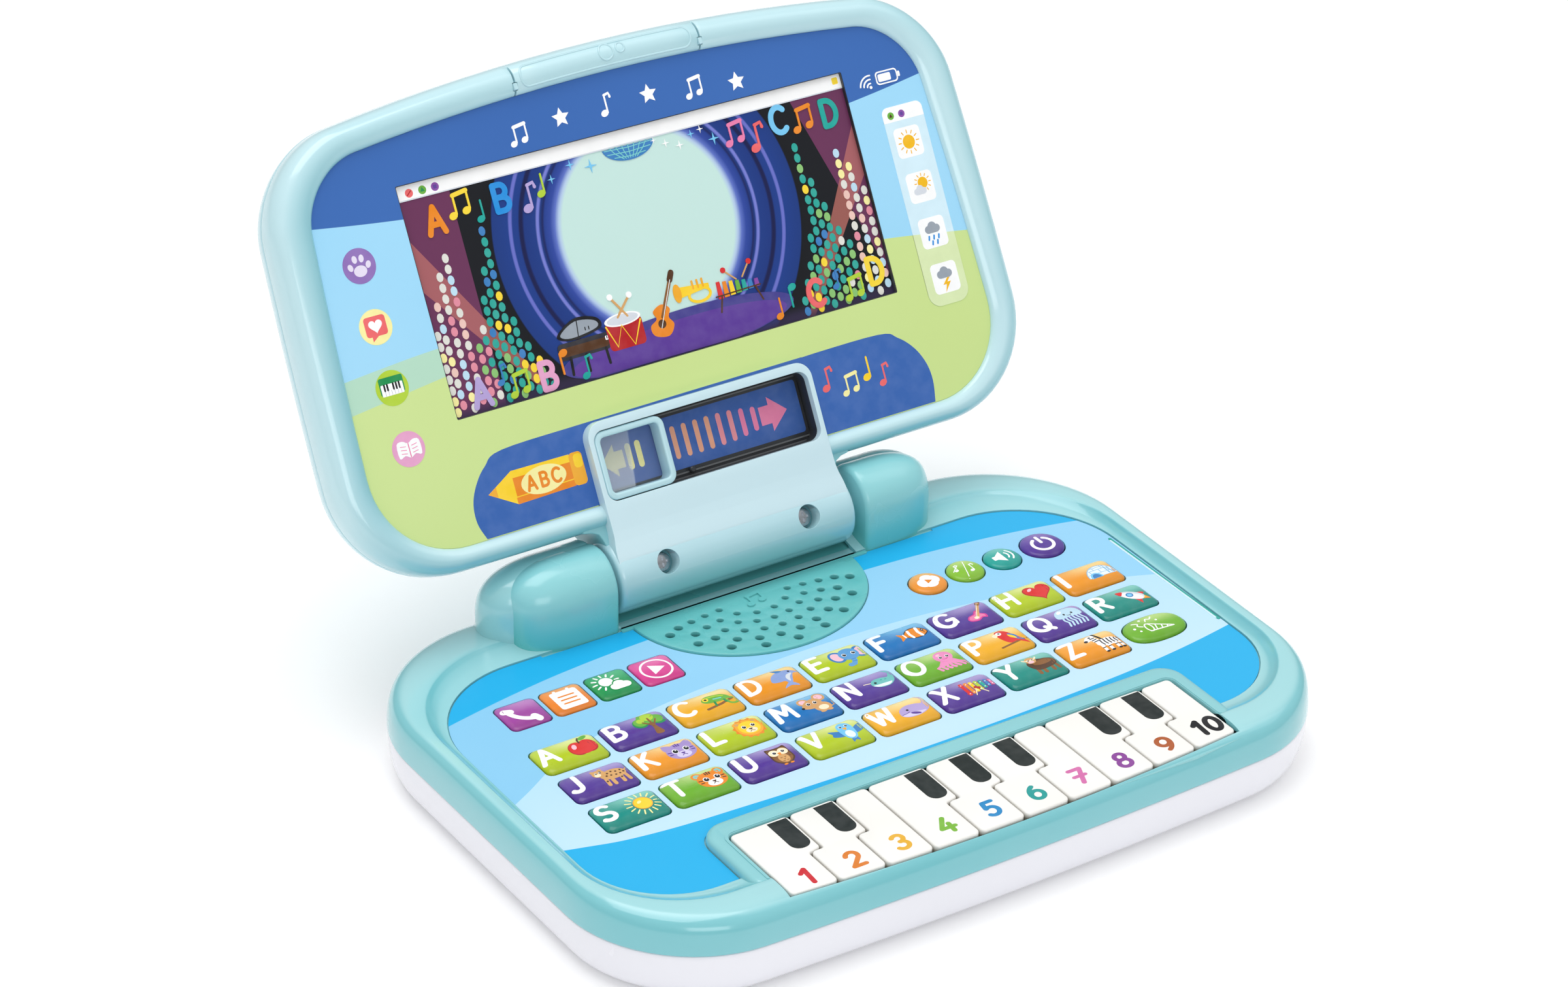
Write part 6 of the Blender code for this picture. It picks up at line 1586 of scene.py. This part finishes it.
# mirror ball and sparkles
ball = [p for p in ell(1.0, 129.4, 9.4, 5.2, 0, 60) if p[1] < 129.4]
scr += [("deepblue", ball)]
for k in range(-3, 4):
    scr.append(("aqua", stroke([(1.0 + 1.25 * k * 1.8, 129.2), (1.0 + 1.05 * k * 1.6, 127.0), (1.0 + 0.5 * k * 1.6, 124.9)], 0.28, 2)))
for dv, hw in ((1.0, 9.0), (2.4, 8.1), (3.8, 5.9)):
    scr.append(("aqua", stroke([(1.0 - hw + 0.3, 129.4 - dv + 0.2), (1.0, 129.4 - dv - 0.2), (1.0 + hw - 0.3, 129.4 - dv + 0.2)], 0.26, 2)))
for sx, sv, r_, c_ in ((-13.5, 125.4, 2.2, "skyline"), (-20.5, 127.4, 1.7, "skyline"), (14.2, 126.4, 1.5, W_), (19.0, 124.7, 1.6, W_), (23.8, 127.2, 1.4, "skyline"),
                       (31.5, 124.0, 2.1, "skyline"), (27.4, 128.0, 1.3, W_), (-28.0, 124.5, 1.5, "skyline"), (10.2, 128.2, 1.1, W_)):
    scr.append((c_, star(sx, sv, r_)))
# generic instruments on the stage
n_band = len(scr)
scr += [("black", blob([(-37, 77.5), (-31, 81.0), (-24.6, 79.8), (-24.2, 76.8), (-33, 75.6)])), ("grey", blob([(-36, 77.6), (-31, 80.2), (-25.4, 79.2), (-25.2, 77.2), (-33, 76.2)])),
        ("dark", rrect(-30.0, 73.2, 15.4, 4.4, 1.2)), ("darkbrown", rrect(-30.0, 73.0, 14.4, 2.4, 0.8)), (W_, rrect(-21.2, 73.9, 4.6, 1.1, 0.2)), ("black", stroke([(-34.6, 71.4), (-35.0, 67.0)], 0.8)),
        ("black", stroke([(-24.0, 71.4), (-23.8, 67.4)], 0.8)), ("black", stroke([(-30.0, 71.2), (-30.0, 66.8)], 0.8)), ("black", stroke([(-31, 75.4), (-30.4, 80.4)], 0.3, 2))]
for k in range(5):
    scr.append(("black", stroke([(-23.0 + 0.9 * k, 74.3), (-23.0 + 0.9 * k, 73.7)], 0.26, 2)))
scr += [("crimson", rrect(-11.0, 70.6, 9.0, 6.2, 1.0)), (W_, ell(-11.0, 73.8, 4.5, 1.4)), ("palegrey", ell(-11.0, 73.8, 3.9, 1.1)), ("sunyellow", stroke([(-15.4, 73.0), (-13.6, 68.2), (-11.6, 72.6), (-9.4, 67.8), (-6.8, 72.8)], 0.35, 2)),
        ("tan", stroke([(-12.0, 74.4), (-8.0, 78.4)], 0.5)), ("tan", stroke([(-9.6, 74.2), (-12.6, 78.8)], 0.5)), (W_, ell(-8.0, 78.5, 0.7)), (W_, ell(-12.7, 79.0, 0.7))]
scr += [("orange", blob([(1.8, 68.0), (5.6, 67.2), (7.6, 69.6), (6.6, 71.6), (7.4, 73.6), (5.4, 75.0), (2.8, 73.8), (3.2, 71.8), (1.2, 70.4)])), ("darkbrown", ell(4.4, 70.4, 1.1)), ("brown", stroke([(5.0, 72.0), (9.6, 80.6)], 0.9)),
        ("darkbrown", stroke([(9.4, 80.2), (10.2, 81.8)], 1.5)), (W_, stroke([(4.0, 69.4), (9.4, 80.2)], 0.16, 2))]
scr += [("sunyellow", [(16.0, 74.6), (16.0, 77.4), (25.0, 76.6), (25.0, 75.6)]), ("amber", ell(16.0, 76.0, 1.1, 2.3)), ("sunyellow", stroke(arc(22.0, 74.4, 3.0, 1.7, 0, 180, 12), 0.7)), ("sunyellow", stroke(arc(22.0, 74.4, 3.0, 1.7, 180, 360, 12), 0.7)),
        ("amber", stroke([(20.6, 76.2), (20.6, 78.0)], 0.5)), ("amber", stroke([(22.0, 76.2), (22.0, 78.0)], 0.5)), ("amber", stroke([(23.4, 76.2), (23.4, 78.0)], 0.5))]
for k, c_ in enumerate(("red", "orange", "sunyellow", "leaf", "teal", "deepblue", "purple")):
    scr.append((c_, [(30.6 + 2.0 * k, 70.2 + 0.12 * k), (32.2 + 2.0 * k, 70.2 + 0.12 * k), (32.0 + 2.0 * k, 75.0 - 0.3 * k), (30.9 + 2.0 * k, 75.0 - 0.3 * k)]))
scr += [("darkbrown", stroke([(30.0, 71.0), (44.4, 71.3)], 0.4, 2)), ("darkbrown", stroke([(31.8, 71.0), (30.4, 66.6)], 0.5, 2)), ("darkbrown", stroke([(42.8, 71.0), (44.2, 67.0)], 0.5, 2)),
        ("tan", stroke([(34.0, 77.6), (37.4, 74.4)], 0.4, 2)), ("red", ell(34.0, 77.7, 0.8)), ("tan", stroke([(42.4, 78.2), (39.4, 74.6)], 0.4, 2)), ("red", ell(42.5, 78.3, 0.8))]
# title bar
band, scr = scr[n_band:], scr[:n_band]
GRP = ((-31.0, 77.0, -33.0, 76.2, 1.2), (-11.0, 71.5, -16.5, 73.4, 1.45), (5.0, 73.0, -2.5, 75.2, 1.3), (20.5, 75.5, 10.5, 79.0, 1.3),
       (37.0, 71.0, 26.0, 75.2, 1.15))
for col_, p in band:
    mx_ = sum(q[0] for q in p) / len(p)
    ox, oy, nx_, ny_, ks = min(GRP, key=lambda g: abs(g[0] - mx_))
    scr.append((col_, [(nx_ + (x - ox) * ks, ny_ + (y - oy) * ks) for x, y in p]))
scr += [("palegrey", [(x0 - 1, 129.2), (x1 + 1, 129.2), (x1 + 1, v1 + 1.2), (x0 - 1, v1 + 1.2)]), (W_, [(x0 - 1, 129.6), (x1 + 1, 129.6), (x1 + 1, v1 - 0.2), (x0 - 1, v1 - 0.2)]),
        ("coral", ell(-76.2, 131.4, 1.35)), ("crimson", stroke([(-76.9, 130.8), (-75.5, 132.0)], 0.35, 2)), ("leaf", ell(-71.6, 131.4, 1.35)), ("forest", [(-71.6, 132.3), (-70.8, 130.9), (-72.4, 130.9)]),
        ("purple", ell(-67.2, 131.4, 1.35)), ("violet", rrect(-67.2, 131.4, 1.2, 1.2, 0.2)), ("yellow", rrect(80.0, 132.0, 2.2, 2.2, 0.4))]
# letters and notes
for ch, gx, gv, c_ in (("A", -70.0, 121.5, "orange"), ("B", -46.5, 123.0, "brightblue"), ("C", 56.0, 124.4, "skyline"), ("D", 75.0, 122.6, "teal"),
                       ("A", -70.0, 66.8, "lilac"), ("B", -46.5, 66.2, "bookpink"), ("C", 53.5, 67.8, "coral"), ("D", 77.0, 69.6, "yellow")):
    scr += glyph(ch, gx, gv, 10.0, 1.85, c_)
scr += beam_note(-61.3, 121.6, 7.8, "yellow") + q_note(-54.8, 118.2, 6.6, "teal") + q_note(-38.2, 117.6, 8.4, "lilac", True) + q_note(-32.6, 121.0, 7.0, "lime") \
    + beam_note(38.8, 121.4, 7.4, "pink") + q_note(45.6, 117.6, 8.6, "coral", True) + beam_note(64.4, 120.2, 7.8, "orange") \
    + q_note(-62.6, 68.0, 6.0, "deepblue", True) + beam_note(-57.0, 63.6, 7.4, "lime") + q_note(-39.6, 71.6, 7.4, "orange", up=False) \
    + q_note(-33.6, 62.8, 6.8, "teal", True) + q_note(38.6, 63.8, 6.6, "orange") + q_note(45.4, 71.8, 7.2, "teal", up=False) + q_note(61.4, 68.0, 5.8, "deepblue", True) \
    + beam_note(67.4, 63.6, 7.4, "lime")
paint("screen_graphics", scr, LID, "lid", 4.3, None, 0.02, 0.0008, 0.1)

# ==================================================================== slider
insert = loft("slider_insert", [at(rrect(0, 34.0, 79.0, 25.2, 1.5, 4), 1.2), at(rrect(0, 34.0, 79.0, 25.2, 1.5, 4), 2.5)], LID, [DARK])
bevel(insert, 0.15, 2, 50)
ride(insert, "lid", "slider_track")
RAIL = plastic("rail_grey", hx("#55595C"), 0.3, 0.3, 0.05, 0.02)
for j_, rv in enumerate((45.6, 44.3, 24.6, 23.2)):
    rail = loft("slider_rail_%d" % (j_ + 1), [at(rrect(0, rv, 78.4, 0.5, 0.2, 2), w) for w in (2.4, 2.72, 2.78)], LID, [RAIL])
    ride(rail, "lid")
lab = [("label", rrect(0.2, 34.6, 76.4, 17.2, 1.0, 4)),
       ("arrow", [(-35.6, 34.6), (-30.4, 39.8), (-30.4, 37.4), (-27.4, 37.4), (-27.4, 31.8), (-30.4, 31.8), (-30.4, 29.4)]),
       ("arrow", stroke([(-25.4, 37.9), (-25.4, 31.4)], 2.0)), ("arrow", stroke([(-21.8, 38.0), (-21.8, 31.3)], 2.0))]
for k_ in range(8):
    x = -8.6 + 4.24 * k_
    hh = (10.6, 10.6, 10.6, 10.6, 10.4, 10.0, 9.0, 7.8, 6.8)[k_] / 2 - 0.85
    lab.append(("bars1" if k_ < 4 else "bars2" if k_ < 6 else "bars3", stroke([(x, 34.6 + hh), (x, 34.6 - hh)], 1.75)))
lab += [("bars3", [(23.2, 37.6), (27.0, 37.6), (27.0, 40.2), (33.4, 34.6), (27.0, 29.0), (27.0, 31.6), (23.2, 31.6)])]
paint("slider_label", lab, LID, "lid", 2.5, None, 0.02, 0.003, 0.1)
SX, SWD, SH_ = -26.8, 25.2, 22.0
sf = loft("slider_square", [at(rrect(SX, 34.2, SWD, SH_, 3.4, 8), 3.0), at(rrect(SX, 34.2, SWD, SH_, 3.4, 8), 9.5)], LID, [AQUA])
boolean(sf, loft("tool", [at(rrect(SX, 34.2, SWD - 4.2, SH_ - 4.2, 1.6, 6), w) for w in (1, 12)], LID, [AQUA]))
bevel(sf, 0.7, 4, 50)
ride(sf, "slider", "slider_frame")
# clear lens with a painted reflection: milky over its left part up to a slanted edge, tinted whiter towards its lower
# edge
t = Tree("lens_clear_painted_reflection")
X, Y, Z = t.xyz()
t.link(t.rng(t.math("SUBTRACT", X, t.math("MULTIPLY", Y, 0.12)), -0.0297, -0.0291, 0.3, 0.05, True), t.b.inputs["Alpha"])
t.link(t.rng(t.noise(60, 2), 0.3, 0.7, 0.05, 0.12), t.b.inputs["Roughness"])
t.link(t.mix(t.rng(Y, 0.024, 0.044, 0, 1), hx("#F0F3FA"), hx("#CDD6E8")), t.b.inputs["Base Color"])
lens = loft("slider_lens", [at(rrect(SX, 34.2, SWD - 4.3 - 2 * d, SH_ - 4.3 - 2 * d, 1.5, 6), w) for d, w in
                            ((0.2, 3.05), (0, 3.1), (0, 3.6), (0.2, 3.65))], LID, [t.m])
ride(lens, "slider")
peg = loft("slider_peg", [at(ell(-5.5, 25.0, r, n=24), w) for r, w in ((1.0, 2.4), (1.0, 3.9), (0.7, 4.2))], LID, [DARK])
ride(peg, "lid")

# =================================================================== stage
ground = bmesh.new()
N = 24
gv = [[ground.verts.new((-6 + 12 * i / N, -6 + 12 * j / N, -0.0003)) for i in range(N + 1)] for j in range(N + 1)]
for j in range(N):
    for i in range(N):
        ground.faces.new((gv[j][i], gv[j][i + 1], gv[j + 1][i + 1], gv[j + 1][i]))
t = Tree("pale_floor")
t.link(t.mix(t.rng(t.noise(3, 3), 0.3, 0.7, 0, 1), (0.94, 0.943, 0.946), (0.955, 0.957, 0.96)), t.b.inputs["Base Color"])
t.b.inputs["Specular IOR Level"].default_value = 0.2
t.b.inputs["Emission Color"].default_value = (1, 1, 1, 1)
t.b.inputs["Emission Strength"].default_value = 0.1
t.surface(0.6, 0.08, 0.02, 300)
floor = new_object("studio_floor", ground, Matrix.Identity(4), [t.m])

scene = bpy.context.scene
world = bpy.data.worlds.new("studio")
scene.world = world
world.use_nodes = True
bgn = world.node_tree.nodes["Background"]
bgn.inputs[1].default_value = 1.0
wt = world.node_tree
wc = wt.nodes.new("ShaderNodeTexCoord")
ws = wt.nodes.new("ShaderNodeSeparateXYZ")
wr = wt.nodes.new("ShaderNodeMapRange")
wr.interpolation_type = "SMOOTHSTEP"
for i_, v_ in enumerate((-0.1, 1.0, 0.36, 0.86)):
    wr.inputs[1 + i_].default_value = v_
wt.links.new(wc.outputs["Generated"], ws.inputs[0])
wt.links.new(ws.outputs[2], wr.inputs[0])
wt.links.new(wr.outputs[0], bgn.inputs[0])


def area(name, loc, target, size, power, color=(1, 1, 1)):
    l = bpy.data.lights.new(name, "AREA")
    l.shape, l.size, l.size_y = "RECTANGLE", size[0], size[1]
    l.energy, l.color = power, color
    o = bpy.data.objects.new(name, l)
    scene.collection.objects.link(o)
    o.location = loc
    o.rotation_euler = (Vector(target) - Vector(loc)).to_track_quat("-Z", "Y").to_euler()


area("key_light", (-0.15, 0.25, 1.5), (0, 0.0, 0.03), (1.1, 0.9), 8.6)
area("rim_light", (0.7, -0.1, 1.1), (0, 0.02, 0.05), (0.6, 0.9), 1.2)
area("front_fill", (-0.55, -1.35, 0.7), (0, 0.05, 0.08), (0.8, 0.5), 3.4)

cam_data = bpy.data.cameras.new("view")
cam = bpy.data.objects.new("view", cam_data)
scene.collection.objects.link(cam)
cam_data.sensor_width = 36.0
cam_data.lens = 94.744
cam_data.clip_start, cam_data.clip_end = 0.05, 50
right = Vector((0.83846282, -0.54472496, 0.01596319))
up = Vector((0.26323197, 0.43047827, 0.86336399))
backv = Vector((-0.47716772, -0.71969658, 0.50432905))
M = Matrix((right, up, backv)).transposed().to_4x4()
M.translation = Vector((-0.6053656, -0.8730021, 0.7123134))
cam.matrix_world = M
scene.camera = cam
scene.view_settings.view_transform = "Standard"
scene.view_settings.look = "None"
